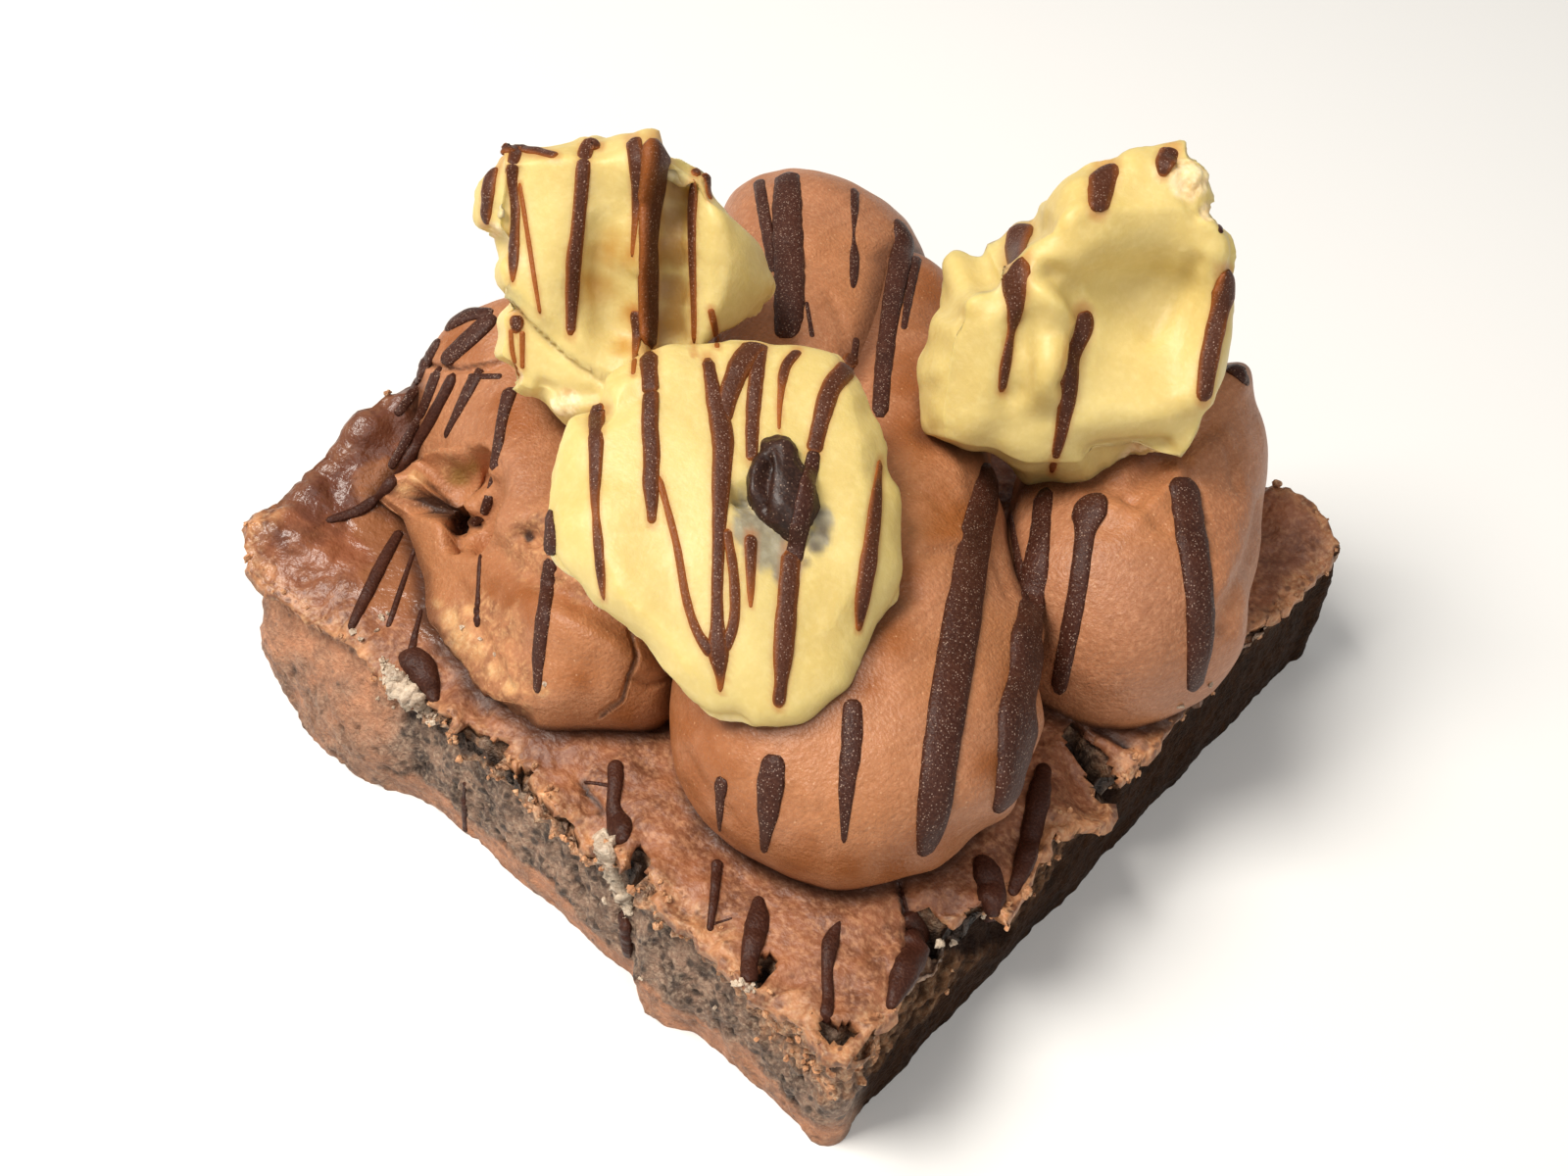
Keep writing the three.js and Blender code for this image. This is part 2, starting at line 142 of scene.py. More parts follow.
# Layers of smooth noise, here and further down: height, size of a feature and seed.
WALL_WAVES = ((0.35, 5.0, 8),)
LOOSE_WAVES = ((0.5, 0.9, 11),)
SKIN_RAG = ((0.12, 6.0, 5), (0.06, 2.0, 6))
HOLLOW_RAG = ((0.5, 2.2, 9), (0.4, 0.9, 10))
OPEN_SHINE, SLICED_SHINE = 0.4, 0.03
PATCH_EDGE, SPECK_EDGE = (0.38, 0.66), (0.45, 0.75)


def smooth(t):
    t = np.clip(t, 0, 1)
    return t * t * (3 - 2 * t)


def photo_pixels(points):
    """The pixel that each point shows at, and how far it is from the camera."""
    seen = (points - CAMERA_PLACE) @ np.array((VIEW_RIGHT, VIEW_UP, VIEW_BACK)).T
    depth = -seen[:, 2]
    pixels = np.stack([seen[:, 0], -seen[:, 1]], axis=1) / depth[:, None] * FOCAL_PIXELS
    return pixels + np.array(PHOTO_SIZE) / 2, depth


def nudged(points, nudges):
    """The points after each nudge across the view: from a pixel, to a pixel, within some pixels."""
    for start, end, reach in nudges:
        pixels, depth = photo_pixels(points)
        near = smooth(1 - np.linalg.norm(pixels - start, axis=1) / reach) * depth / FOCAL_PIXELS
        across, down = np.array(end) - start
        points = points + near[:, None] * (across * VIEW_RIGHT - down * VIEW_UP)
    return points


def beside(points, path):
    """How far each point shows from a line of pixels, in millimetres, and on which side of it."""
    pixels, depth = photo_pixels(points)
    nearest = np.full(len(points), np.inf)
    side = np.zeros(len(points))
    for start, end in zip(path, path[1:]):
        run = np.subtract(end, start)
        t = np.clip((pixels - start) @ run / (run @ run), 0, 1)
        gap = pixels - start - t[:, None] * run
        distance = np.hypot(gap[:, 0], gap[:, 1])
        closer = distance < nearest
        nearest = np.where(closer, distance, nearest)
        side = np.where(closer, np.sign(run[0] * gap[:, 1] - run[1] * gap[:, 0]), side)
    return nearest * depth / FOCAL_PIXELS, side


def points_of(piece, kind="co"):
    points = np.empty(len(piece.data.vertices) * 3)
    piece.data.vertices.foreach_get(kind, points)
    return points.reshape(-1, 3)


def place_points(piece, points):
    piece.data.vertices.foreach_set("co", points.astype(np.float32).ravel())
    piece.data.update()


def noise_at(points, size, seed=0):
    """Smooth noise from -1 to 1 with features of that size, at each point."""
    offset = Vector((seed * 17.3, seed * 5.9, seed * 11.1))
    return np.array([noise.noise(Vector(p) / size + offset) for p in points])


def layers_at(points, *layers):
    """The sum of layers of smooth noise, each given by its height, size and seed."""
    return sum(height * noise_at(points, size, seed) for height, size, seed in layers)


def pits_at(points, size, seed=0):
    """1 at the middle of each scattered pit, down to 0 at its edge."""
    offset = Vector((seed * 7.7, seed * 3.1, seed * 13.9))
    gaps = np.array([noise.voronoi(Vector(p) / size + offset)[0][0] for p in points])
    return smooth(1 - gaps / 0.45)


def spots_at(points, spots, seed=0, edge=0.4):
    """1 inside any of the round spots, given by pixel and reach in pixels, fading out unevenly."""
    pixels, depth = photo_pixels(points)
    ragged = layers_at(points, (0.35, 2.5, seed), (0.2, 0.9, seed + 1))
    amount = np.zeros(len(points))
    for x, y, reach in spots:
        gap = np.hypot(pixels[:, 0] - x, pixels[:, 1] - y) / reach
        amount = np.maximum(amount, smooth((1.15 + ragged - gap) / edge))
    return amount


def mark(piece, name, values):
    """Stores a number for every vertex, for the material to read."""
    layer = piece.data.attributes.new(name, "FLOAT", "POINT")
    layer.data.foreach_set("value", np.asarray(values, dtype=np.float32))


def finish_piece(piece, material, slot, *nodes):
    """Brings a piece to metres and ties it to the body and the nodes it stands for; the slot is not used."""
    piece.data.transform(Matrix.Scale(MM, 4))
    piece.data.materials.clear()
    piece.data.materials.append(material)
    piece.data.shade_smooth()
    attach(piece, "root")
    if nodes:
        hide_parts(*nodes)


def new_piece(name):
    """Names the piece that was just added."""
    piece = bpy.context.object
    piece.name = piece.data.name = name
    return piece


def scatter(i, j):
    s = np.sin(i * 127.1 + j * 311.7) * 43758.5453
    return s - np.floor(s)


def unevenness(x, y, size):
    u, v = np.asarray(x) / size, np.asarray(y) / size
    i, j = np.floor(u), np.floor(v)
    a, b = smooth(u - i), smooth(v - j)
    low = scatter(i, j) * (1 - a) + scatter(i + 1, j) * a
    high = scatter(i, j + 1) * (1 - a) + scatter(i + 1, j + 1) * a
    return 2 * (low * (1 - b) + high * b) - 1


def torn(x, y):
    depth = 0 * x
    for tear_x, tear_y, reach, deep in TEARS:
        depth = depth + deep * smooth(1 - np.hypot(x - tear_x, y - tear_y) / reach)
    return depth


def slab_top(x, y):
    half = SLAB_SIDE / 2
    at_tray = smooth((TRAY_CLIMB_WIDTH - half - x) / TRAY_CLIMB_WIDTH)
    growing = CLIMB_AT_FRONT + (1 - CLIMB_AT_FRONT) * smooth((y + half) / CLIMB_GROWS_OVER)
    at_right = smooth((y - half + 6) / 6) * smooth((x - 12) / 20)
    waves = WAVE_HEIGHT * unevenness(x + 2 * half, y + half, WAVE_LENGTH)
    return SLAB_HEIGHT + waves + TRAY_CLIMB * at_tray * growing + RIGHT_LIFT * at_right - torn(x, y)


def hollowed(points):
    """How deep the hollows under the torn crust reach at each point."""
    ragged = layers_at(points, *HOLLOW_RAG)
    deep = np.zeros(len(points))
    for half_width, depth, path in HOLLOWS:
        gap = beside(points, path)[0] / half_width
        deep = np.maximum(deep, depth * smooth(1.6 + 0.5 * ragged - 0.9 * gap))
    return deep


def srgb(red, green, blue):
    def linear(c):
        c /= 255
        return c / 12.92 if c <= 0.04045 else ((c + 0.055) / 1.055) ** 2.4

    return (linear(red), linear(green), linear(blue), 1)


def set_inputs(node, **inputs):
    """Sets or links a node's inputs, by name, or by number as _0, _1 and so on."""
    for key, value in inputs.items():
        socket = node.inputs[int(key[1:]) if key[0] == "_" else key.replace("_", " ")]
        if isinstance(value, bpy.types.NodeSocket):
            node.id_data.links.new(value, socket)
        else:
            socket.default_value = value


def add_node(tree, kind, settings=None, **inputs):
    node = tree.nodes.new(kind)
    for key, value in (settings or {}).items():
        setattr(node, key, value)
    set_inputs(node, **inputs)
    return node


def blend(tree, share, first, second):
    """The colour between two, by a share from 0 to 1. Each is a socket, or red, green and blue."""
    first, second = (srgb(*c) if isinstance(c, tuple) else c for c in (first, second))
    mixed = add_node(tree, "ShaderNodeMix", {"data_type": "RGBA"}, _0=share, _6=first, _7=second)
    return mixed.outputs[2]


def read_mark(tree, name):
    return add_node(tree, "ShaderNodeAttribute", {"attribute_name": name}).outputs["Fac"]


def layered(tree, colour, **above):
    """The colour with others laid over it in turn, each by the mark of its name."""
    for name, other in above.items():
        colour = blend(tree, read_mark(tree, name), colour, other)
    return colour


def ranged(tree, value, low, high, start, end):
    """The value moved from between low and high to between start and end."""
    return add_node(tree, "ShaderNodeMapRange", _0=value, _1=low, _2=high, _3=start, _4=end).outputs[0]


def product(tree, first, second):
    return add_node(tree, "ShaderNodeMath", {"operation": "MULTIPLY"}, _0=first, _1=second).outputs[0]


def cloudy(tree, where, scale, detail):
    return add_node(tree, "ShaderNodeTexNoise", Vector=where, Scale=scale, Detail=detail).outputs[0]


def new_group(name, inputs, output):
    group = bpy.data.node_groups.new(name, "ShaderNodeTree")
    for label, kind, value in inputs:
        socket = group.interface.new_socket(label, in_out="INPUT", socket_type="NodeSocket" + kind)
        if value is not None:
            socket.default_value = value
    group.interface.new_socket(output[0], in_out="OUTPUT", socket_type="NodeSocket" + output[1])
    given, result = group.nodes.new("NodeGroupInput"), group.nodes.new("NodeGroupOutput")
    return group, given.outputs, result.inputs[0]


def mottle_group():
    """Two colours in soft patches, with a fine speckle of a third over both."""
    group, given, result = new_group(
        "mottle",
        (
            ("Vector", "Vector", None),
            ("Main", "Color", (0.5, 0.5, 0.5, 1)),
            ("Patch", "Color", (0.3, 0.3, 0.3, 1)),
            ("Speck", "Color", (0.7, 0.7, 0.7, 1)),
            ("Patch Scale", "Float", 150.0),
            ("Patch Amount", "Float", 0.5),
            ("Speck Scale", "Float", 1500.0),
            ("Speck Amount", "Float", 0.3),
        ),
        ("Color", "Color"),
    )
    patches = cloudy(group, given["Vector"], given["Patch Scale"], 4.0)
    specks = cloudy(group, given["Vector"], given["Speck Scale"], 2.0)
    patchy = ranged(group, patches, *PATCH_EDGE, 0.0, given["Patch Amount"])
    speckled = ranged(group, specks, *SPECK_EDGE, 0.0, given["Speck Amount"])
    soft = blend(group, patchy, given["Main"], given["Patch"])
    group.links.new(blend(group, speckled, soft, given["Speck"]), result)
    return group


def grain_group():
    """A height made of fine grain and coarser lumps, for a Bump node."""
    group, given, result = new_group(
        "grain",
        (
            ("Vector", "Vector", None),
            ("Fine Scale", "Float", 3000.0),
            ("Coarse Scale", "Float", 600.0),
            ("Fine Share", "Float", 0.4),
        ),
        ("Height", "Float"),
    )
    fine = cloudy(group, given["Vector"], given["Fine Scale"], 3.0)
    coarse = cloudy(group, given["Vector"], given["Coarse Scale"], 4.0)
    share = given["Fine Share"]
    both = add_node(group, "ShaderNodeMix", {"data_type": "FLOAT"}, _0=share, _2=coarse, _3=fine)
    group.links.new(both.outputs[0], result)
    return group


def pores_group():
    """The share of small dark pores of many sizes."""
    group, given, result = new_group(
        "pores",
        (
            ("Vector", "Vector", None),
            ("Scale", "Float", 900.0),
            ("Size", "Float", 0.5),
            ("Amount", "Float", 0.8),
        ),
        ("Share", "Float"),
    )
    cells = add_node(group, "ShaderNodeTexVoronoi", Vector=given["Vector"], Scale=given["Scale"])
    chance = add_node(group, "ShaderNodeSeparateColor", _0=cells.outputs["Color"]).outputs[0]
    size = product(group, chance, given["Size"])
    inner = product(group, size, 0.5)
    share = ranged(group, cells.outputs["Distance"], size, inner, 0.0, given["Amount"])
    group.links.new(share, result)
    return group


MOTTLE = mottle_group()
GRAIN = grain_group()
PORES = pores_group()


def mottled(tree, where, main, patch, speck, *amounts):
    """Mottled colours. The amounts are patch scale and share, then speck scale and share."""
    labels = ("Patch_Scale", "Patch_Amount", "Speck_Scale", "Speck_Amount")
    tints = {"Main": srgb(*main), "Patch": srgb(*patch), "Speck": srgb(*speck)}
    settings = dict(zip(labels, amounts), Vector=where, **tints)
    return add_node(tree, "ShaderNodeGroup", {"node_tree": MOTTLE}, **settings).outputs[0]


def pores(tree, where, scale, size, share):
    settings = {"Vector": where, "Scale": scale, "Size": size, "Amount": share}
    return add_node(tree, "ShaderNodeGroup", {"node_tree": PORES}, **settings).outputs[0]


def pitted(tree, where, colour, scale, size, share, tint):
    """The colour with small pores of a tint in it."""
    return blend(tree, pores(tree, where, scale, size, share), colour, tint)


def food_material(name, roughness, bump, bump_depth, *grain):
    """A Principled material with a grainy bump: fine scale, coarse scale and the fine share."""
    material = bpy.data.materials.new(name)
    material.use_nodes = True
    tree = material.node_tree
    shader = tree.nodes["Principled BSDF"]
    where = add_node(tree, "ShaderNodeTexCoord").outputs["Object"]
    settings = dict(zip(("Fine_Scale", "Coarse_Scale", "Fine_Share"), grain), Vector=where)
    height = add_node(tree, "ShaderNodeGroup", {"node_tree": GRAIN}, **settings).outputs[0]
    relief = add_node(tree, "ShaderNodeBump", Strength=bump, Distance=bump_depth, Height=height)
    set_inputs(shader, Normal=relief.outputs["Normal"], Roughness=roughness)
    return material, tree, shader, where


def crumb_material():
    material, tree, shader, where = food_material("fudgy_crumb", *CRUMB_SURFACE)
    fudge = pitted(tree, where, mottled(tree, where, *FUDGE), *FUDGE_PORES)
    skin = pitted(tree, where, mottled(tree, where, *BAKED_SKIN), *SKIN_PORES)
    crumbs = pitted(tree, where, mottled(tree, where, *LOOSE_CRUMB), *LOOSE_PORES)
    sliced = mottled(tree, where, *SLICED_SIDE)
    wall = layered(tree, fudge, baked=skin, sliced=sliced, crumbly=crumbs, hollow=HOLLOW_DARK)
    shine = ranged(tree, read_mark(tree, "sliced"), 0.0, 1.0, OPEN_SHINE, SLICED_SHINE)
    set_inputs(shader, Base_Color=wall, Specular_IOR_Level=shine)
    return material


bpy.ops.mesh.primitive_cube_add(size=2)
crumb = new_piece("fudgy_crumb")
bpy.ops.object.mode_set(mode="EDIT")
for axis in ((1, 0, 0), (0, 1, 0)):
    for place in WALL_BAYS:
        bpy.ops.mesh.select_all(action="SELECT")
        bpy.ops.mesh.bisect(plane_co=[place * a for a in axis], plane_no=axis)
bpy.ops.mesh.select_all(action="SELECT")
bpy.ops.mesh.subdivide(number_cuts=1)
bpy.ops.mesh.select_all(action="DESELECT")
bpy.ops.object.mode_set(mode="OBJECT")
for face in crumb.data.polygons:
    near_side = max(abs(face.center.x), abs(face.center.y)) > CRUMB_RIM
    face.select = face.normal.z > -0.5 and near_side
bpy.ops.object.mode_set(mode="EDIT")
bpy.ops.mesh.subdivide(number_cuts=WALL_CUTS)
bpy.ops.object.mode_set(mode="OBJECT")

unit = points_of(crumb)
level = (unit[:, 2] + 1) / 2
on_wall = np.maximum(np.abs(unit[:, 0]), np.abs(unit[:, 1])) > 0.999
x, y = unit[:, 0] * CRUMB_HALF, unit[:, 1] * CRUMB_HALF
at_left_corner = (x < 0) & (y < 0)
rounding = (ROUND_CORNER - CRUMB_CORNER) * smooth(1.1 - level)
corner = CRUMB_CORNER + np.where(at_left_corner, rounding, 0)
core_x = np.clip(x, corner - CRUMB_HALF, CRUMB_HALF - corner)
core_y = np.clip(y, corner - CRUMB_HALF, CRUMB_HALF - corner)
out_x, out_y = x - core_x, y - core_y
far = np.maximum(np.hypot(out_x, out_y), 1e-6)
out_x, out_y = out_x / far, out_y / far
sharp_corner = np.where(at_left_corner, 0, SHARP_CORNER * np.abs(2 * out_x * out_y))
facing_y = out_y**2
swell = FOOT_SWELL * smooth(1.5 - np.abs(x - FOOT_SWELL_PLACE) / 10) * facing_y
crumb_at_foot = FOOT_CRUMB * smooth(1.4 - np.abs(x - FOOT_CRUMB_PLACE) / 3) * facing_y * (y < 0)
foot = (swell + crumb_at_foot + FOOT + 0.9 * facing_y) * smooth(1.3 - 1.25 * level)
top = slab_top(x, y) - CRUMB_UNDER_CRUST
place = np.stack([x, y, level * top], axis=1)
coarse, middling, fine = (noise_at(place, size, seed) for size, seed in CRUMB_GRAINS)
ragged_line = layers_at(place, *SKIN_RAG)
front, tray, cut = (smooth(side * 3 - 1) for side in (-out_y, -out_x, np.maximum(out_x, out_y)))
skin_left = front * smooth((SKIN_ENDS - x + 30 * ragged_line) / 5)
skin_low = smooth((LOW_SKIN + 1.3 * ragged_line - level) / 0.08) * (0.3 + 0.7 * front)
baked = np.maximum.reduce([skin_left, skin_low, tray]) * (1 - 0.35 * smooth(coarse * 2))
baked = baked * (1 - 0.62 * spots_at(place, THIN_SKIN, 15, 1.0))
at_corner = smooth((x - 20) / 14) * smooth((5 - y) / 22 + 1.2 * ragged_line)
near_top = smooth((level - 0.78 + 0.4 * at_corner + 0.9 * ragged_line) / 0.14)
crumbly = near_top * (1 - 0.6 * skin_left) * (1 - 0.7 * cut * smooth((y - NEAR_CUT - 2) / 4))
crumbly = np.where(on_wall, np.clip(crumbly, 0, 1), 0.6)
# Painted shade over the darker crumb of the sliced sides.
sliced = cut * smooth((y - NEAR_CUT) / 3) * smooth((0.97 - level) / 0.12 + ragged_line * 4)
pits = pits_at(place, PIT_SIZE, 1) * smooth(noise_at(place, 3.0, 7) * 2 + 0.6)
roughness = (0.25 + 0.75 * (1 - baked)) * (1 - 0.7 * cut * (1 - crumbly))
grains = COARSE_RISE * coarse + MIDDLING_RISE * middling + FINE_RISE * fine
relief = roughness * (grains - PIT_DEPTH * pits)
relief += 0.35 * crumbly * middling + layers_at(place, *WALL_WAVES)
relief += CRUMBLY_RISE * crumbly * smooth(level * 4 - 2.6) * (1 - sliced)
relief += crumbly * (layers_at(place, *LOOSE_WAVES) - 0.5 * pits_at(place, LOOSE_PIT_SIZE, 14))
hollow = hollowed(place)
out = corner + sharp_corner + foot + relief - 0.35 * hollow
sunk = hollow + 0.5 + 0.7 * np.abs(coarse) - 0.3 * middling
place[:, 0] = np.where(on_wall, core_x + out_x * out, x)
place[:, 1] = np.where(on_wall, core_y + out_y * out, y)
place[:, 2] -= np.where(level > 0.98, sunk, 0)
place_points(crumb, nudged(place, WALL_NUDGES))
mark(crumb, "baked", np.where(on_wall, baked, 0))
mark(crumb, "sliced", np.where(on_wall, sliced, 0))
mark(crumb, "crumbly", crumbly * smooth(0.6 + 1.2 * middling))
# Painted shade, darker the deeper the hollow, and in the pits.
mark(crumb, "hollow", np.clip(hollow / 1.5 + np.where(on_wall, 1.1 * pits * roughness, 0), 0, 0.9))
finish_piece(crumb, crumb_material(), "baked_brownie", "brownie")

# The crust, the thin sugary skin that the slab baked on top. It stands out over the crumb, its
# edge torn ragged, and climbs where it met the tray. A fine grid is pulled to its edge, lifted to
# the slab's top, opened where it has come away and given its thickness.
CRUST_CELLS = 192
CRUST_THICKNESS = 1.2
RIM_REACH = 7
RIM_RAG = 0.45
BLISTER_PLACE = (-33, -27)
BLISTER_REACH = 14
FILM_DEPTH = 0.25
BLISTER_RISE, BLISTER_SIZE = 0.9, 3.4
CRUST_SWELLS = ((0.3, 2.2, 22),)
CRUST_WRINKLES = ((0.2, 1.2, 25), (0.12, 0.6, 26))
TORN_RAG = ((0.5, 1.9, 12), (0.4, 0.8, 13))
RIM_WAVES = ((0.55, 3.0, 23),)
RIM_DROOP = 0.2
RIM_FLAKES = ((0.45, 1.3, 28), (0.35, 0.8, 29))
RIM_PIT_DEPTH, RIM_PIT_SIZE = 0.5, 2.2
TRAY_EDGE = -32.5
TRAY_SWELL = 2.2
TRAY_SWELL_PLACE = -17
WIDEST_CRACK = 1
COME_AWAY_OVER = 1.0  # depth of the hollow under it
# The torn edge in plan: along x for the front side, along y for the right side.
FRONT_RIM = (
    (-39, -36.6), (-34, -39.2), (-28, -39.0), (-21.4, -37.9), (-15.2, -38.9), (-9.4, -38.0),
    (-5.7, -37.4), (-3, -36.4), (0, -37.0), (2.7, -37.6), (6.4, -37.4), (9.2, -37.8), (12.7, -37.6),
    (15, -38.8), (19, -38.5), (22, -38.4), (25.8, -38.8), (29, -39.5), (30.6, -38.9), (32.5, -38.5),
    (36, -38.8), (39, -37.8),
)
RIGHT_RIM = (
    (-39, 37.7), (-36, 38.0), (-34, 37.9), (-31.5, 37.7), (-29, 36.6), (-27.3, 36.4), (-24.8, 35.0),
    (-23.3, 36.0), (-21.5, 37.6), (-20.4, 39.0), (-17.8, 38.8), (-16.6, 38.6), (-12.9, 37.5),
    (-11.7, 37.0), (-10, 37.0), (-8.3, 37.4), (-7.3, 38.8), (-5.6, 39.2), (-4, 38.6), (-2.6, 36.2),
    (-1.5, 37.4), (0.9, 37.6), (3.6, 37.9), (13.3, 37.3), (20.7, 36.2), (27.5, 37.5), (38, 37.2),
)
# Cracks and folds of the crust: height, width and line. Those below zero are pressed in.
CRUST_CRACKS = (
    (-0.8, 0.36, ((594, 798), (602, 814), (614, 830))),
    (-0.6, 0.5, ((918, 902), (926, 932))),
    (-0.6, 0.5, ((1118, 742), (1150, 760))),
    (0.5, 3.0, ((290, 600), (340, 630), (385, 665))),
    (0.7, 4.0, ((275, 545), (315, 560), (345, 590))),
    (-0.7, 3.0, ((262, 560), (300, 585), (330, 615))),
    (0.8, 3.0, ((285, 480), (330, 470), (370, 430))),
)
CRUST_NUDGES = (((1377, 546), (1366, 557), 26), ((1322, 518), (1323, 508), 44))
# Chocolate-brown film where buttercream was smeared over the crust: pixel and reach in pixels.
SMEARS = ((425, 560, 46), (400, 600, 34), (395, 500, 30), (440, 640, 20), (380, 540, 22))
TOASTED = (
    (288, 500, 24), (312, 480, 28), (338, 460, 32), (368, 446, 36), (396, 430, 28), (264, 520, 15),
    (340, 500, 28), (318, 520, 18), (388, 400, 30), (352, 430, 26),
)
# Where the crust is faintly darker, below and beside the ropes: pixel and reach in pixels.
FAINTLY_TOASTED = ((1312, 572, 62), (560, 762, 50), (640, 800, 36), (470, 704, 30))
CRUST_SURFACE = (0.5, 0.75, 0.0008, 2200.0, 500.0, 0.2)
PLAIN_CRUST = ((145, 90, 59), (94, 54, 33), (206, 152, 112), 360.0, 0.8, 1900.0, 0.5)
SHINY_CRUST = ((134, 77, 49), (84, 44, 28), (180, 122, 88), 260.0, 0.8, 1300.0, 0.25)
SMEARED_FILM = ((146, 92, 58), (108, 64, 38), (176, 120, 80), 120.0, 0.5, 1500.0, 0.1)
BROKEN_RIM = ((206, 144, 96), (112, 66, 42), (244, 206, 160), 650.0, 0.95, 2400.0, 0.5)
CRUST_PORES = (560.0, 0.22, 0.5, (84, 46, 32))
BROKEN_PORES = (1100.0, 0.6, 0.8, (76, 44, 28))
HONEY = (162, 98, 56)
# Scale and detail of the clouds of honey colour, then their range in and out.
HONEY_CLOUDS, HONEY_RANGE = (190.0, 3.0), (0.54, 0.68, 0.0, 0.4)
TOASTED_DARK = (92, 50, 34)
CRACK_DARK = (46, 26, 19)
# Painted contact shade where the ropes lie on the crust, with some fat soaked in.
SOAKED_CRUST = (58, 30, 18)
DULL_CRUST, GLOSSY_CRUST = 0.54, 0.3


def facing_camera(points, normals, steepness=5):
    """1 where the surface faces the camera, falling to 0 where it turns away.

    With a steepness below zero it is 1 where the surface faces away.
    """
    toward = CAMERA_PLACE - points
    return smooth((normals * toward).sum(axis=1) / np.linalg.norm(toward, axis=1) * steepness)


def carve(piece, strokes, ledge=0.35):
    """Raises or presses the side that faces the camera along lines of pixels.

    Each stroke has a height, a width and its line. A stroke that ends in "ledge" is raised to the
    right of its line alone, as it runs, and one that ends in "hole" has steep walls.
    """
    points, normals = points_of(piece), points_of(piece, "normal")
    facing = facing_camera(points, normals)
    lift = np.zeros(len(points))
    for height, width, path, *kind in strokes:
        distance, side = beside(points, path)
        step = smooth(0.5 + side * distance / ledge) if "ledge" in kind else 1
        steep = 2.2 if "hole" in kind else 1
        lift += height * smooth((1 - distance / width) * steep) * step
    place_points(piece, points + (lift * facing)[:, None] * normals)


def crust_material():
    material, tree, shader, where = food_material("sugar_crust", *CRUST_SURFACE)
    plain = pitted(tree, where, mottled(tree, where, *PLAIN_CRUST), *CRUST_PORES)
    honeyed = ranged(tree, cloudy(tree, where, *HONEY_CLOUDS), *HONEY_RANGE)
    colour = layered(
        tree,
        blend(tree, honeyed, plain, HONEY),
        glossy=mottled(tree, where, *SHINY_CRUST),
        toasted=TOASTED_DARK,
        smeared=mottled(tree, where, *SMEARED_FILM),
        rim=pitted(tree, where, mottled(tree, where, *BROKEN_RIM), *BROKEN_PORES),
        crack=CRACK_DARK,
        soaked=SOAKED_CRUST,
    )
    dull = ranged(tree, read_mark(tree, "glossy"), 0.0, 1.0, DULL_CRUST, GLOSSY_CRUST)
    set_inputs(shader, Base_Color=colour, Roughness=dull)
    return material


bpy.ops.mesh.primitive_grid_add(x_subdivisions=CRUST_CELLS, y_subdivisions=CRUST_CELLS, size=2)
crust = new_piece("sugar_crust")
unit = points_of(crust)
half = SLAB_SIDE / 2
x, y = unit[:, 0] * half, unit[:, 1] * half
flat = np.stack([x, y, 0 * x], axis=1)
from_rim = half * (1 - np.maximum(np.abs(unit[:, 0]), np.abs(unit[:, 1])))
near_rim = smooth(1 - from_rim / RIM_REACH)
ragged = layers_at(flat, *TORN_RAG)
front_rim = np.interp(x, *np.transpose(FRONT_RIM))
right_rim = np.interp(y, *np.transpose(RIGHT_RIM))
to_front = smooth(1 - (y + half) / RIM_REACH)
to_right = smooth(1 - (half - x) / RIM_REACH)
shifted_x = x * (1 + RIM_RAG * near_rim * ragged / half) + to_right * (right_rim - half)
shifted_y = y * (1 + RIM_RAG * near_rim * ragged / half) + to_front * (front_rim + half)
place = np.stack([shifted_x, shifted_y, slab_top(x, y)], axis=1)
smeared = spots_at(place, SMEARS, 31)
from_blisters = np.hypot(x - BLISTER_PLACE[0], y - BLISTER_PLACE[1])
blistered = smooth(1.25 - from_blisters / BLISTER_REACH)
blisters = BLISTER_RISE * blistered * np.abs(noise_at(flat, BLISTER_SIZE, 21))
raised = blisters + layers_at(flat, *CRUST_SWELLS) + layers_at(flat, *CRUST_WRINKLES)
place[:, 2] += (1 - smeared) * raised
place[:, 2] += near_rim * (layers_at(flat, *RIM_WAVES) - RIM_DROOP) + FILM_DEPTH * smeared
by_tray = smooth((TRAY_EDGE - x) / 2) * smooth((y + 35) / 3)
flaky = near_rim**2 * layers_at(flat, *RIM_FLAKES)
rim_pits = RIM_PIT_DEPTH * near_rim**2 * pits_at(flat, RIM_PIT_SIZE, 30)
place[:, 2] += flaky * (1 - 0.6 * by_tray) - rim_pits
place[:, 2] += TRAY_SWELL * smooth(1.2 - np.abs(y - TRAY_SWELL_PLACE) / 10) * smooth((-x - 30) / 6)
place[:, 2] -= smooth(1 - from_rim / 2.2) * smooth((-x - 10) / 8)
place = nudged(place, CRUST_NUDGES)
crack = np.zeros(len(place))
for height, width, path in CRUST_CRACKS:
    if width < WIDEST_CRACK:
        crack = np.maximum(crack, smooth(1.2 - beside(place, path)[0] / width))
hollow = hollowed(place)
place[:, 2] -= 0.35 * smooth(hollow) * near_rim
place_points(crust, place)
carve(crust, CRUST_CRACKS)
rim_line = 1.8 + 1.2 * smooth(noise_at(flat, 5.0, 27) * 1.5)
at_rim = smooth(rim_line - from_rim - 0.9 * ragged) * (1 - 0.8 * by_tray)
mark(crust, "rim", at_rim * (0.55 + 0.45 * smooth(ragged * 2)))
mark(crust, "glossy", np.clip(blistered + smeared + 0.25 * smooth(noise_at(flat, 7.0, 24) * 2), 0, 1))
mark(crust, "smeared", smeared)
faintly = 0.42 * spots_at(place, FAINTLY_TOASTED, 66, 1.3)
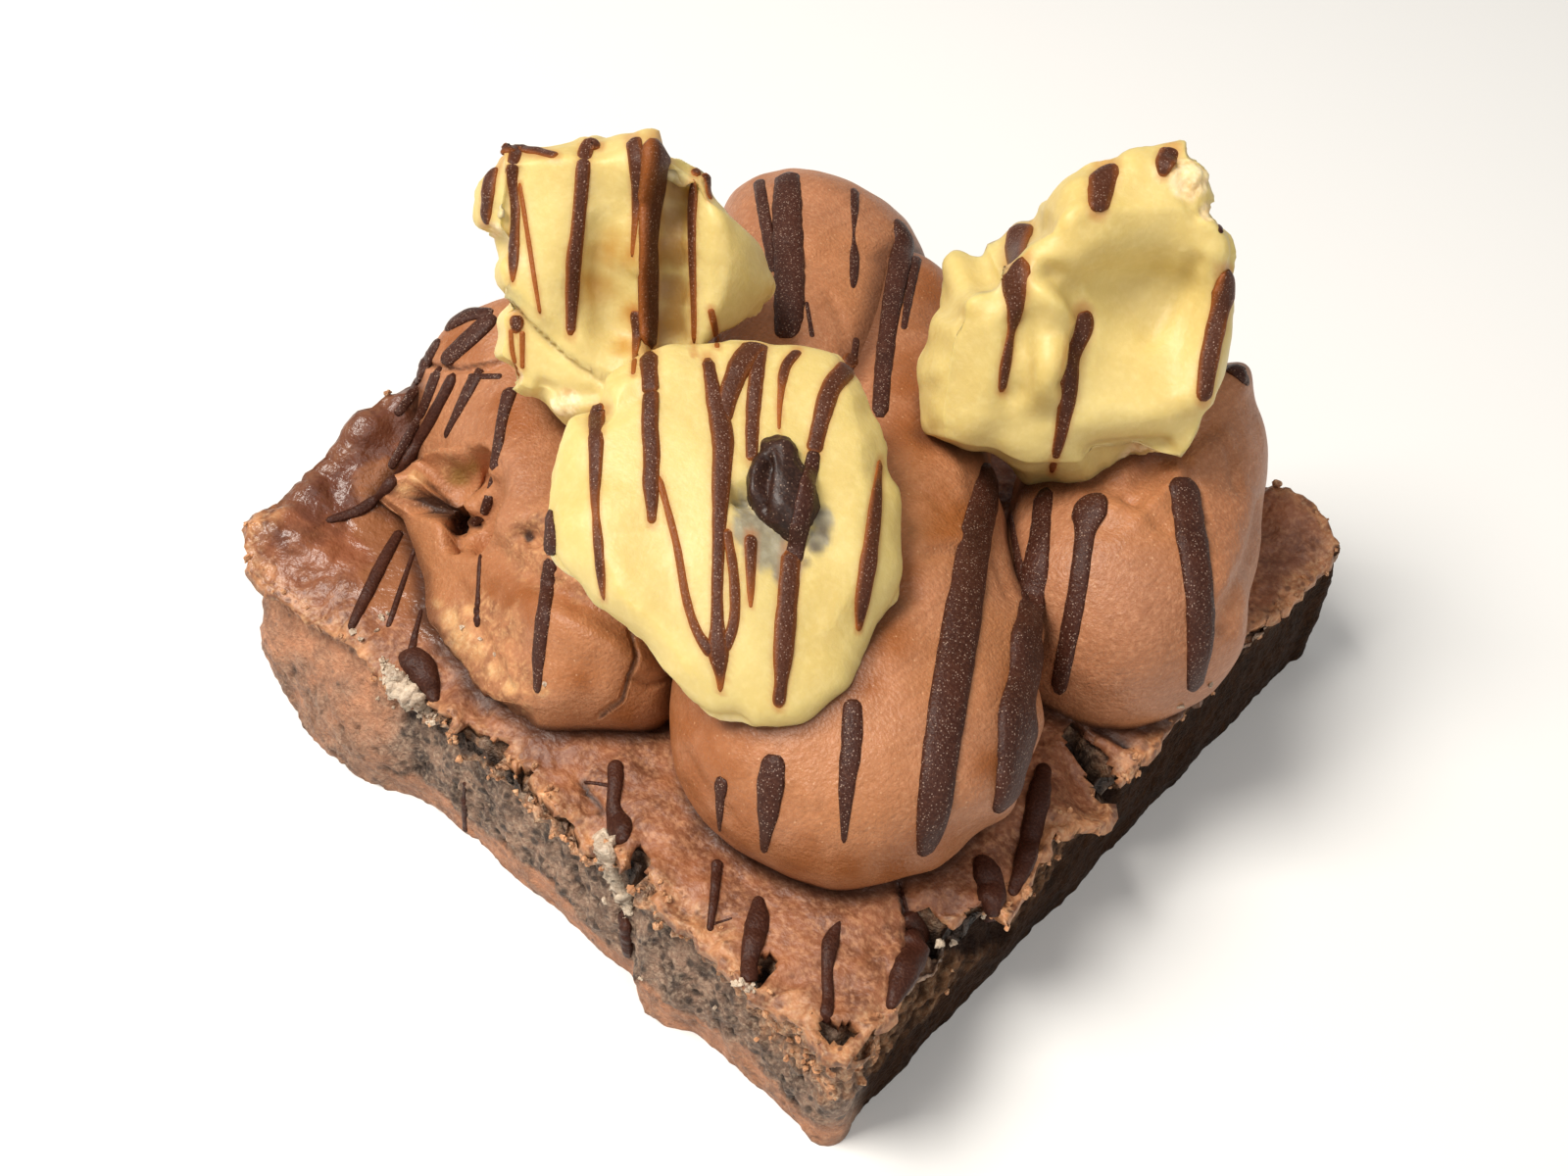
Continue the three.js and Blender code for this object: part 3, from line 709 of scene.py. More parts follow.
# The tray edge toasted dark, and the crust faintly darker below and beside the ropes.
toasted = np.maximum(0.85 * spots_at(place, TOASTED, 32), faintly)
mark(crust, "toasted", toasted * (1 - smeared))
mark(crust, "crack", crack)
bpy.ops.object.mode_set(mode="EDIT")
bpy.ops.mesh.select_mode(type="VERT")
bpy.ops.mesh.select_all(action="DESELECT")
bpy.ops.object.mode_set(mode="OBJECT")
crust.data.vertices.foreach_set("select", hollow > COME_AWAY_OVER)
bpy.ops.object.mode_set(mode="EDIT")
bpy.ops.mesh.delete(type="VERT")
bpy.ops.object.mode_set(mode="OBJECT")
thickness = crust.modifiers.new("thickness", "SOLIDIFY")
thickness.thickness = CRUST_THICKNESS
bpy.context.view_layer.objects.active = crust
bpy.ops.object.modifier_apply(modifier="thickness")
finish_piece(crust, crust_material(), "baked_brownie", "brownie")

# The four ropes of milk chocolate buttercream, piped side by side from the back to the front. Each
# is a ball drawn out along its path, its rings set to the rope's width and height. The left one
# was smeared over the crust behind it and is torn open there.
ROPE_WAIST = 0.36
ROPE_SINK = 0.6
TRAY_WALL = 0.5  # the ropes end this far inside it
ROPE_HEADING = math.radians(-33)
ROPE_FOOT = 2
ROPE_CELLS = (168, 176)
NOSE_SHARE = 0.25
ROPES = {
    "frosting_back": {
        "stations": ((-18, 20.5, 24.5, 20.5), (-9, 8.5, 24.5, 19.5), (-2, -1, 22, 17)),
        "nudges": (((740, 200), (733, 190), 60), ((920, 215), (926, 218), 40), ((800, 186), (800, 172), 90)),
        "strokes": (
            (-0.3, 1.0, ((828, 268), (850, 258), (880, 255), (905, 262))),
            (0.25, 2.5, ((835, 240), (870, 232), (900, 240))),
            (-0.25, 0.8, ((846, 300), (860, 330), (862, 360))),
        ),
    },
    "frosting_front": {
        "stations": ((-8, 20, 19, 18), (3, 7, 20, 18.5), (12, -6, 27, 18.5), (19.5, -16.5, 31.5, 17)),
        "nudges": (
            ((1050, 640), (1061, 636), 60),
            ((1057, 645), (1066, 643), 46),
            ((1062, 800), (1050, 794), 70),
            ((1024, 862), (1010, 846), 80),
            ((1020, 824), (1031, 830), 50),
            ((960, 903), (956, 893), 70),
            ((903, 909), (900, 902), 60),
        ),
        "strokes": (
            (-0.35, 0.8, ((948, 566), (975, 562), (992, 566))),
            (0.3, 1.6, ((925, 556), (950, 550), (980, 548))),
            (-0.3, 0.7, ((1016, 572), (1022, 586), (1028, 606))),
            (-0.25, 0.7, ((930, 500), (950, 505), (965, 520))),
            (0.25, 1.2, ((962, 462), (975, 480), (980, 500))),
            (0.3, 0.8, ((826, 810), (832, 818))),
            (-0.25, 0.8, ((700, 770), (716, 800), (744, 836))),
            (-0.35, 1.5, ((880, 600), (913, 601), (935, 612))),
            (-0.3, 1.2, ((1035, 480), (1062, 600), (1066, 700))),
            (0.3, 4.0, ((1000, 640), (985, 740), (960, 820))),
            (-0.25, 1.0, ((700, 800), (720, 840), (760, 880))),
        ),
    },
    "frosting_right": {
        "stations": ((17, 27, 20, 17), (22, 21.5, 22.5, 18.5), (27.6, 10, 23, 17.5)),
        "nudges": (
            ((1286, 450), (1298, 444), 90),
            ((1256, 408), (1262, 380), 80),
            ((1262, 392), (1264, 385), 30),
            ((1265, 386), (1269, 379), 30),
        ),
        "strokes": (
            (-1.0, 2.0, ((1120, 492), (1155, 505), (1185, 470), (1230, 440))),
            (0.6, 2.5, ((1125, 505), (1160, 520), (1200, 478), (1240, 450))),
            (-0.8, 1.3, ((1286, 520), (1280, 560), (1262, 590), (1250, 640))),
            (0.5, 2.4, ((1268, 520), (1262, 556), (1248, 590))),
            (-0.6, 0.7, ((1150, 506), (1162, 512), (1176, 500), (1190, 486))),
            (-0.4, 0.7, ((1208, 470), (1222, 500), (1230, 530))),
            (-0.3, 0.6, ((1240, 440), (1256, 470), (1262, 500))),
            (-0.3, 1.0, ((1130, 540), (1165, 520), (1190, 540))),
        ),
    },
    "frosting_left": {
        "cells": (232, 240),
        "stations": ((-30, -6.5, 24, 15), (-19, -15.5, 26.5, 13.5), (-5.5, -24, 21, 12.5)),
        "back_nose": 0.6,
        "skirt": 1.3,
        "pulls": (((-20, -25, 25), (3, 1, -4), 6),),
        "nudges": (((455, 640), (436, 640), 60), ((430, 520), (415, 505), 50), ((668, 716), (675, 738), 84)),
        "strokes": (
            (-3.2, 1.5, ((428, 511), (444, 515), (460, 519)), "hole"),
            (-3.6, 2.4, ((456, 497), (468, 486), (480, 478)), "hole"),
            (-2.2, 1.1, ((456, 524), (467, 540), (463, 554)), "hole"),
            (-1.4, 1.0, ((462, 524), (474, 530), (484, 533)), "hole"),
            (1.7, 2.4, ((403, 510), (424, 486), (448, 464), (482, 455), (498, 470)), "ledge"),
            (0.9, 1.3, ((474, 508), (488, 524), (498, 506))),
            (0.7, 1.6, ((404, 496), (414, 506))),
            (-0.6, 0.5, ((436, 372), (468, 377), (498, 374), (516, 366))),
            (-0.9, 1.3, ((532, 546), (546, 548))),
            (0.5, 2.2, ((520, 530), (560, 528), (570, 560))),
            (-0.9, 2.0, ((500, 560), (545, 590), (590, 612), (640, 645), (690, 668))),
            (0.7, 3.5, ((540, 625), (600, 640), (650, 665))),
            (-0.5, 0.35, ((645, 640), (648, 670), (641, 690), (635, 715), (612, 732))),
            (0.3, 2.0, ((632, 660), (628, 690), (622, 710))),
            (-0.5, 0.4, ((641, 690), (664, 700), (690, 690))),
            (-0.8, 1.6, ((436, 650), (455, 695), (492, 722), (535, 735))),
            (0.4, 2.0, ((480, 600), (500, 640), (530, 690))),
            (-0.4, 1.0, ((470, 600), (488, 640), (520, 700))),
        ),
    },
}
# Where the left rope's skin is rough, dry and paler, where painted shade darkens the torn hole in it,
# and where the ropes are darker: painted shade from the lumps over and beside them, with a deeper
# brown of the cream itself in places.
ROUGH_SPOTS = ((485, 655, 50), (520, 700, 34), (560, 560, 42), (600, 590, 26), (600, 520, 20), (460, 475, 14))
PALE_SPOTS = (
    (458, 632, 13), (470, 652, 17), (488, 664, 14), (502, 684, 12), (522, 702, 10), (412, 500, 9),
    (424, 486, 8), (555, 705, 7), (478, 622, 8), (446, 616, 8),
)
DEEPER_SPOTS = (
    (716, 786, 72), (700, 740, 44), (752, 842, 60), (820, 880, 40), (912, 590, 40), (908, 650, 34),
    (886, 700, 26), (590, 600, 40), (470, 350, 34), (520, 426, 44), (590, 690, 26),
    (866, 886, 36), (914, 886, 36), (952, 862, 38), (640, 726, 24), (1034, 700, 30), (1010, 780, 26),
    (948, 300, 50), (930, 380, 42), (925, 440, 38), (975, 530, 44), (520, 612, 56),
)
DARK_SPOTS = (
    (432, 510, 8), (444, 514, 12), (456, 519, 12), (466, 526, 9), (466, 541, 6), (540, 547, 7),
    (448, 500, 7), (478, 532, 8), (488, 535, 6),
)
OLIVE_SPOTS = ((468, 484, 15), (482, 477, 10))
CRACK_WIDTH = 0.24
CRACKED_LINES = (
    ((645, 644), (648, 670), (641, 690), (635, 715), (614, 731)),
    ((436, 372), (468, 377), (516, 366)),
)
CREAM_SURFACE = (0.46, 0.6, 0.00035, 3400.0, 660.0, 0.6)
SMOOTH_CREAM = ((173, 116, 81), (144, 92, 60), (208, 154, 116), 110.0, 0.6, 2300.0, 0.34)
ROUGH_CREAM = ((178, 120, 80), (122, 76, 48), (222, 170, 118), 380.0, 0.8, 1700.0, 0.5)
PALE_CREAM = ((226, 178, 122), (170, 114, 70), (250, 222, 172), 600.0, 0.8, 1900.0, 0.5)
CREAM_BUBBLES = (1700.0, 0.22, 0.3, (236, 190, 150))
STREAK_CREAM = (132, 82, 52)
BUTTERY_CREAM = (180, 116, 66)
# Painted shade under and beside the lumps, with a deeper brown of the cream.
DEEPER_CREAM = (142, 80, 34)
OLIVE_CREAM = (150, 110, 58)
# Painted shade in the torn hole, and the dark of the cracks.
DARK_CREAM = (50, 27, 18)
# Painted contact shade where pieces touch, with some fat soaked in.
SOAKED_CREAM = (82, 46, 28)
STREAK_STRETCH = (1, 0.1, 1)
# Scale and detail of the streaks and of the buttery clouds, then their range in and out.
STREAKS, STREAK_RANGE = (1500.0, 3.0), (0.42, 0.72, 0.0, 0.35)
BUTTER_CLOUDS, BUTTER_RANGE = (65.0, 2.0), (0.45, 0.62, 0.0, 0.35)
STREAK_BUMP = {"Strength": 0.5, "Distance": 0.0002}
CREAM_SHINE = 0.35
SMOOTH_DULLNESS, ROUGH_DULLNESS = 0.42, 0.62
# How much light spreads inside, how far, and how far its red, green and blue go of that.
CREAM_GLOW = {
    "Subsurface_Weight": 0.1,
    "Subsurface_Scale": 0.002,
    "Subsurface_Radius": (1.0, 0.5, 0.3),
}
ROPE_WAVES = ((0.45, 7.0, 42), (0.12, 2.6, 43))
ROPE_GRIT = ((0.22, 1.3, 44), (0.22, 0.7, 45))


def pulled(points, pulls):
    """The points after each pull: all of it at its place, none of it beyond its reach."""
    for at, by, reach in pulls:
        near = smooth(1 - np.linalg.norm(points - np.array(at), axis=1) / reach)
        points = points + near[:, None] * np.array(by)
    return points


def spline(knots, t):
    """A smooth curve through the knots, at each t from 0 to 1."""
    knots = np.array(knots, dtype=float)
    padded = np.vstack([2 * knots[0] - knots[1], knots, 2 * knots[-1] - knots[-2]])
    scaled = np.clip(t, 0, 1) * (len(knots) - 1)
    i = np.minimum(scaled.astype(int), len(knots) - 2)
    f = (scaled - i)[:, None]
    a, b, c, d = (padded[i + k] for k in range(4))
    return 0.5 * (2 * b + (c - a) * f + (2 * a - 5 * b + 4 * c - d) * f**2 + (3 * b - a - 3 * c + d) * f**3)


def rope_points(unit, stations, back_nose=1, skirt=0):
    turn = np.arccos(np.clip(unit[:, 2], -1, 1)) / math.pi
    along = np.clip((turn - NOSE_SHARE) / (1 - 2 * NOSE_SHARE), 0, 1)
    back = np.clip(1 - turn / NOSE_SHARE, 0, 1)
    front = np.clip(1 - (1 - turn) / NOSE_SHARE, 0, 1)
    shrink = np.cos((back + front) * math.pi / 2)
    beyond = np.sin(front * math.pi / 2) - back_nose * np.sin(back * math.pi / 2)
    middle = spline(stations, along)
    step = 1e-3
    ahead = spline(stations, along + step)[:, :2] - spline(stations, along - step)[:, :2]
    ahead /= np.linalg.norm(ahead, axis=1)[:, None]
    width, height = middle[:, 2], middle[:, 3]
    angle = np.arctan2(unit[:, 1], unit[:, 0])
    across = width / 2 * shrink * np.cos(angle)
    waist = ROPE_WAIST * height
    slack = skirt * smooth(np.cos(angle) * 1.2) * smooth(1.3 - front * 1.6) * smooth(along * 2.5)
    rise = np.where(np.sin(angle) > 0, np.abs(np.sin(angle)) ** (1 + slack), np.sin(angle))
    reach = np.where(rise > 0, height - waist * (1 - 0.8 * slack / 1.3), ROPE_FOOT * waist)
    lowered = waist * (1 - 0.8 * np.clip(slack, 0, 1.3) / 1.3)
    return np.stack(
        [
            middle[:, 0] + ahead[:, 0] * beyond * width / 2 + ahead[:, 1] * across,
            middle[:, 1] + ahead[:, 1] * beyond * width / 2 - ahead[:, 0] * across,
            SLAB_HEIGHT + lowered + reach * shrink * rise,
        ],
        axis=1,
    )


def buttercream_material():
    material, tree, shader, where = food_material("milk_chocolate_buttercream", *CREAM_SURFACE)
    turned = {"Rotation": (0, 0, ROPE_HEADING), "Scale": STREAK_STRETCH}
    along = add_node(tree, "ShaderNodeMapping", Vector=where, **turned).outputs[0]
    streaks = cloudy(tree, along, *STREAKS)
    streaky = ranged(tree, streaks, *STREAK_RANGE)
    cream = blend(tree, streaky, mottled(tree, where, *SMOOTH_CREAM), STREAK_CREAM)
    butterier = ranged(tree, cloudy(tree, where, *BUTTER_CLOUDS), *BUTTER_RANGE)
    cream = layered(
        tree,
        blend(tree, butterier, cream, BUTTERY_CREAM),
        deeper=DEEPER_CREAM,
        rough=mottled(tree, where, *ROUGH_CREAM),
        pale=mottled(tree, where, *PALE_CREAM),
        olive=OLIVE_CREAM,
        dark=DARK_CREAM,
    )
    cream = layered(tree, pitted(tree, where, cream, *CREAM_BUBBLES), soaked=SOAKED_CREAM)
    grain_relief = shader.inputs["Normal"].links[0].from_socket
    drawn = add_node(tree, "ShaderNodeBump", **STREAK_BUMP, Height=streaks, Normal=grain_relief)
    dull = ranged(tree, read_mark(tree, "rough"), 0.0, 1.0, SMOOTH_DULLNESS, ROUGH_DULLNESS)
    set_inputs(shader, Base_Color=cream, Roughness=dull, Normal=drawn.outputs["Normal"])
    set_inputs(shader, Specular_IOR_Level=CREAM_SHINE, **CREAM_GLOW)
    return material


def face_outward():
    """Turns the faces of the piece at hand outwards."""
    bpy.ops.object.mode_set(mode="EDIT")
    bpy.ops.mesh.select_all(action="SELECT")
    bpy.ops.mesh.normals_make_consistent(inside=False)
    bpy.ops.object.mode_set(mode="OBJECT")


buttercream = buttercream_material()
for name, rope in ROPES.items():
    sides, rings = rope.get("cells", ROPE_CELLS)
    bpy.ops.mesh.primitive_uv_sphere_add(segments=sides, ring_count=rings, radius=1)
    piece = new_piece(name + "_rope")
    place = rope_points(points_of(piece), rope["stations"], rope.get("back_nose", 1), rope.get("skirt", 0))
    place[:, 0] = np.maximum(place[:, 0], TRAY_WALL - SLAB_SIDE / 2)
    place = nudged(pulled(place, rope.get("pulls", ())), rope.get("nudges", ()))
    place_points(piece, place)
    face_outward()
    carve(piece, rope["strokes"])
    place, normals = points_of(piece), points_of(piece, "normal")
    is_left = float(name == "frosting_left")
    rough = is_left * spots_at(place, ROUGH_SPOTS, 41)
    waves = layers_at(place, *ROPE_WAVES)
    grit = rough * layers_at(place, *ROPE_GRIT)
    place += (waves + grit)[:, None] * normals
    place[:, 2] = np.maximum(place[:, 2], slab_top(place[:, 0], place[:, 1]) - ROPE_SINK)
    place_points(piece, place)
    # Painted shade in the torn hole, and the cracks dark.
    dark = 0.95 * spots_at(place, DARK_SPOTS, 47)
    for path in CRACKED_LINES:
        dark = np.maximum(dark, 0.7 * smooth(1.1 - beside(place, path)[0] / CRACK_WIDTH))
    mark(piece, "rough", rough)
    mark(piece, "pale", 0.7 * is_left * spots_at(place, PALE_SPOTS, 46, 0.9))
    # Painted shade from the lumps over and beside the ropes, with a deeper brown of the cream.
    mark(piece, "deeper", 0.9 * spots_at(place, DEEPER_SPOTS, 49, 1.2))
    mark(piece, "dark", is_left * dark)
    mark(piece, "olive", is_left * spots_at(place, OLIVE_SPOTS, 48, 0.8))
    finish_piece(piece, buttercream, "buttercream", name)

# The lumps of raw cookie dough, broken off and pressed on, and the dark chocolate chip that shows
# in the front one. Each starts as a cube cut finely and drawn towards a ball, is stretched, pulled
# at a few places, turned, then folded and torn where the photograph shows it.
LUMP_BALL = 1.06
BACK_ROUNDNESS = 0.8
LUMP_CUTS = 63
CHIP_CUTS = 19
LUMPS = {
    "dough_front": {
        "shape": (15.5, 13.6, 4.2),
        "roundness": 0.9,
        "pulls": (
            ((13, -11, 0), (-1.2, 2.6, 0), 9),
            ((13, 11, 0), (-0.5, -1.4, 0), 9),
            ((16, 2, 0), (1.6, 0.8, 0), 8),
            ((-4, -14, 0), (0, -1.5, 0), 9),
            ((-12, 9, 0), (-1, 1, 0), 8),
            ((-7, 0, -5), (3, 0, -8), 11),
        ),
        "turn": (0, 22, -48),
        "centre": (6, -18.4, 36.5),
        "nudges": (
            ((740, 724), (768, 720), 80),
            ((820, 695), (840, 700), 60),
            ((553, 480), (570, 484), 80),
            ((904, 410), (888, 414), 50),
            ((912, 470), (898, 482), 44),
            ((924, 530), (914, 538), 60),
            ((668, 690), (684, 680), 44),
            ((600, 408), (610, 420), 30),
            ((725, 352), (722, 362), 50),
            ((592, 606), (606, 596), 70),
            ((632, 660), (645, 644), 64),
            ((690, 718), (697, 702), 46),
            ((746, 734), (752, 728), 30),
            ((862, 680), (878, 688), 60),
            ((820, 724), (828, 730), 44),
            ((882, 374), (872, 380), 40),
            ((776, 342), (778, 350), 50),
            ((790, 746), (786, 741), 30),
        ),
        "strokes": (
            (-0.4, 4.0, ((660, 560), (690, 620), (725, 680))),
            (0.5, 5.0, ((600, 540), (630, 600), (690, 680))),
            (0.4, 4.0, ((860, 420), (885, 470), (890, 560))),
            (-0.6, 2.6, ((762, 510), (775, 530), (800, 560))),
            (-1.6, 0.8, ((752, 503), (762, 504)), "hole"),
            (-0.5, 1.6, ((598, 430), (625, 418), (650, 404))),
        ),
    },
    "dough_left": {
        "shape": (6.5, 10.8, 10.8),
        "roundness": 0.55,
        "pulls": (
            ((0, 11, 2), (0, 4, -1), 9),
            ((0, 10, -10), (0, -3, 3), 8),
            ((0, 10, 10), (0, -3, -2), 7),
            ((4, -9, -10), (2, 0.5, -3), 9),
            ((3, 1, -10), (3, 0, -4), 9),
            ((0, -11, 5), (0, -1.5, -1), 5),
            ((7, 3, 6), (-2, 0, 0), 5),
            ((7, 3, 0), (-2, 0, 0), 5),
            ((7, 3, -5), (-2, 0, 0), 5),
            ((-5, 0, -10), (-1, 0, -7), 10),
        ),
        "turn": (0, -30, -50),
        "centre": (-20, -6.5, 40.8),
        "nudges": (
            ((492, 290), (524, 300), 48),
            ((497, 340), (508, 338), 34),
            ((505, 400), (520, 392), 40),
            ((796, 250), (784, 262), 60),
            ((780, 206), (764, 226), 56),
            ((745, 190), (738, 198), 40),
            ((643, 134), (643, 142), 40),
            ((672, 130), (672, 144), 44),
            ((650, 136), (650, 142), 30),
            ((570, 138), (570, 149), 40),
            ((500, 160), (508, 154), 24),
            ((484, 218), (491, 218), 30),
            ((482, 238), (492, 238), 28),
            ((672, 134), (671, 141), 26),
            ((496, 254), (506, 250), 30),
            ((514, 389), (521, 380), 34),
            ((545, 414), (550, 400), 44),
        ),
        "strokes": (
            (-1.0, 3.4, ((622, 245), (614, 290), (626, 335))),
            (0.9, 3.6, ((648, 160), (640, 215), (640, 260))),
            (0.7, 4.0, ((575, 170), (570, 240), (562, 300))),
            (1.6, 4.5, ((652, 402), (620, 388), (580, 362), (545, 330), (515, 296)), "ledge"),
            (-0.7, 1.6, ((520, 300), (550, 330), (585, 360), (625, 385))),
            (1.7, 5.0, ((674, 152), (668, 220), (664, 318), (664, 400)), "ledge"),
            (-1.7, 3.4, ((690, 190), (688, 270), (684, 350))),
            (0.7, 3.6, ((742, 232), (752, 270), (744, 330))),
            (0.9, 2.2, ((512, 165), (500, 195), (496, 228))),
            (-0.9, 1.8, ((520, 178), (512, 215), (512, 250))),
            (-0.5, 1.2, ((555, 395), (580, 405), (610, 404))),
            (0.5, 1.6, ((575, 410), (605, 412), (635, 405))),
            (0.35, 1.2, ((600, 150), (640, 148), (680, 158))),
        ),
    },
    "dough_right": {
        "shape": (6.5, 13, 13),
        "roundness": 0.6,
        "pulls": (
            ((0, 7, 13), (0, 1.5, 4), 8),
            ((0, -11, 11), (0, 4.5, -7), 14),
            ((0, -13, -9), (1, -2.5, 1), 9),
            ((0, 12, -11), (0, -1, 1), 8),
            ((0, 2, -13), (0, 0, -1.5), 7),
            ((8, 5, 4), (-5, 0, 0), 10),
            ((7, -3, -3), (2, 0, 0), 4),
            ((-6, 0, -10), (-1, 0, -6), 9),
        ),
        "turn": (0, -28, -50),
        "centre": (14.8, 15, 42),
        "nudges": (
            ((1252, 190), (1234, 194), 50),
            ((1235, 150), (1216, 158), 30),
            ((916, 400), (937, 404), 50),
            ((930, 440), (942, 436), 40),
            ((985, 295), (970, 268), 34),
            ((960, 345), (962, 345), 30),
            ((930, 348), (944, 354), 44),
            ((1086, 182), (1094, 191), 40),
            ((1130, 154), (1134, 161), 40),
            ((1263, 262), (1255, 262), 30),
            ((1100, 190), (1096, 180), 30),
            ((1150, 500), (1146, 474), 90),
            ((1075, 498), (1068, 486), 40),
            ((1252, 215), (1240, 218), 40),
            ((1030, 240), (1030, 234), 26),
            ((1252, 420), (1242, 420), 40),
            ((1042, 252), (1034, 238), 54),
            ((1092, 206), (1082, 196), 50),
            ((1000, 272), (996, 262), 40),
            ((1049, 499), (1056, 491), 44),
            ((1002, 484), (1010, 468), 50),
            ((960, 462), (964, 450), 40),
        ),
        "strokes": (
            (-0.5, 8.0, ((1165, 290), (1150, 350))),
            (1.2, 4.0, ((1105, 248), (1140, 242), (1180, 242), (1212, 250))),
            (0.9, 2.6, ((1062, 262), (1055, 285), (1066, 300), (1084, 310), (1098, 318))),
            (-1.3, 1.8, ((1072, 282), (1090, 302), (1106, 325), (1100, 360), (1092, 395))),
            (1.1, 3.0, ((1068, 300), (1078, 330), (1078, 365))),
            (-0.8, 1.8, ((1040, 330), (1042, 360), (1036, 400))),
            (0.7, 3.0, ((1015, 320), (1010, 370), (1000, 420))),
            (-0.3, 4.0, ((985, 300), (985, 350), (968, 400))),
            (0.5, 2.0, ((972, 262), (978, 285), (990, 305))),
            (0.9, 3.0, ((1080, 215), (1110, 180), (1150, 165))),
            (-0.4, 3.0, ((1060, 240), (1080, 236))),
            (0.7, 2.5, ((1240, 260), (1235, 330), (1222, 400))),
            (-0.5, 1.6, ((1222, 262), (1195, 300), (1175, 340))),
            (0.6, 3.0, ((1110, 430), (1160, 430), (1205, 410))),
            (-0.9, 1.6, ((1120, 466), (1150, 462), (1185, 458))),
            (0.6, 1.4, ((1135, 472), (1160, 472), (1185, 466))),
            (0.8, 1.6, ((1190, 172), (1215, 180), (1228, 205))),
            (-0.6, 1.2, ((1198, 160), (1206, 185), (1222, 215))),
        ),
    },
    "chocolate_chip": {
        "shape": (5, 2.6, 2.6),
        "roundness": 0.95,
        "pulls": (
            ((-5, 2.6, 1), (0, -1.1, 0.2), 5),
            ((-5, -2.6, 1), (0, 1.1, 0.2), 5),
            ((1.5, 3, 0), (0, 0.5, 0), 4),
            ((5, 2, 0), (0.4, -0.9, -0.6), 4),
            ((5, -2, 0), (0.4, 0.9, -0.6), 4),
        ),
        "turn": (6, 22, -38),
        "centre": (9.3, -16, 39.6),
        "nudges": (
            ((770, 490), (763, 492), 26),
            ((800, 562), (803, 552), 56),
            ((842, 500), (836, 492), 34),
            ((786, 432), (788, 438), 24),
            ((776, 450), (770, 447), 18),
            ((808, 452), (813, 450), 18),
        ),
        "strokes": (
            (-0.9, 0.55, ((783, 470), (780, 494), (779, 518))),
            (0.45, 0.9, ((772, 466), (769, 486), (773, 510))),
        ),
    },
}
# Grey smears where chocolate melted into the front lump, and torn, paler edges on the others.
MELT_SPOTS = (
    (768, 538, 20), (784, 562, 23), (802, 582, 15), (758, 518, 9), (840, 528, 13), (836, 552, 13),
    (756, 503, 5),
)
# Painted shadow that the chip casts on the front lump, along its right side.
STEEPED_SPOTS = ((836, 522, 12), (838, 540, 14), (832, 557, 12), (821, 573, 9))
TORN_SPOTS = ((1212, 182, 22), (1160, 472, 20), (578, 410, 14), (505, 235, 8), (524, 384, 8), (1235, 215, 10))
# Where the left lump is ochre, its own tone with painted shade in its hollows: pixel and reach in pixels.
OCHRE_SPOTS = (
    (622, 258, 30), (608, 290, 28), (640, 262, 20), (646, 322, 22), (636, 350, 18),
)
# Painted shade on the step beside its thick line.
SHADED_SPOTS = (
    (692, 196, 18), (691, 224, 24), (690, 258, 26), (689, 294, 26), (686, 330, 26), (682, 366, 22),
)
DOUGH_SURFACE = (0.47, 0.4, 0.0003, 2600.0, 420.0, 0.35)
DOUGH = ((212, 190, 122), (197, 169, 93), (234, 216, 157), 120.0, 0.55, 1500.0, 0.2)
TORN_DOUGH = ((238, 216, 166), (204, 166, 104), (252, 240, 206), 700.0, 0.8, 1800.0, 0.4)
MELTED_GREY = ((152, 145, 124), (88, 78, 68), (190, 184, 166), 420.0, 0.7, 1600.0, 0.3)
# Ochre of the dough, with painted shade in its hollows.
OCHRE_DOUGH = (182, 132, 52)
SHADED_DOUGH = (150, 104, 42)
# Painted shadow cast by the chip.
STEEPED_DOUGH = (70, 55, 40)
STAINED_DOUGH = (176, 96, 34)
DOUGH_GLOW = {
    "Subsurface_Weight": 0.3,
    "Subsurface_Scale": 0.004,
    "Subsurface_Radius": (1.0, 0.8, 0.35),
}
DOUGH_SHINE, CHIP_SHINE = 0.4, 0.35
LUMP_WAVES = ((0.28, 5.0, 52), (0.1, 1.9, 53))
CHIP_WAVES = ((0.22, 5.0, 52), (0.1, 1.9, 53))
BACK_FOLDS = ((0.8, 4.2, 62), (0.3, 1.5, 63))
LUMP_GRIT = ((1, 1.0, 54), (1, 0.5, 55))
TORN_GRIT, CHIP_GRIT = 0.3, 0.13
# What is laid on a lump, soaked-in colour and painted shade and shadow alike: how strong it is, on
# which lump, where, its seed and its softness.
STAINS = {
    "ochre": (0.92, "dough_left", OCHRE_SPOTS, 57, 1.3),
    "shaded": (0.85, "dough_left", SHADED_SPOTS, 58, 0.8),
    "melted": (0.9, "dough_front", MELT_SPOTS, 56, 0.4),
    "steeped": (0.75, "dough_front", STEEPED_SPOTS, 65, 1.1),
}
CHIP_SURFACE = (0.42, 0.5, 0.0002, 3200.0, 1100.0, 0.4)
CHIP = ((46, 23, 15), (26, 13, 8), (104, 70, 54), 400.0, 0.6, 3600.0, 0.25)
CHIP_DUST = (3400.0, 0.3, 0.4, (190, 160, 140))


def lump_points(unit, shape, roundness, pulls, turn, centre):
    far = np.linalg.norm(unit, axis=1)[:, None]
    points = (unit + roundness * (unit / far * LUMP_BALL - unit)) * np.array(shape)
    facing = Euler([math.radians(a) for a in turn], "XYZ").to_matrix()
    return pulled(points, pulls) @ np.array(facing).T + np.array(centre)


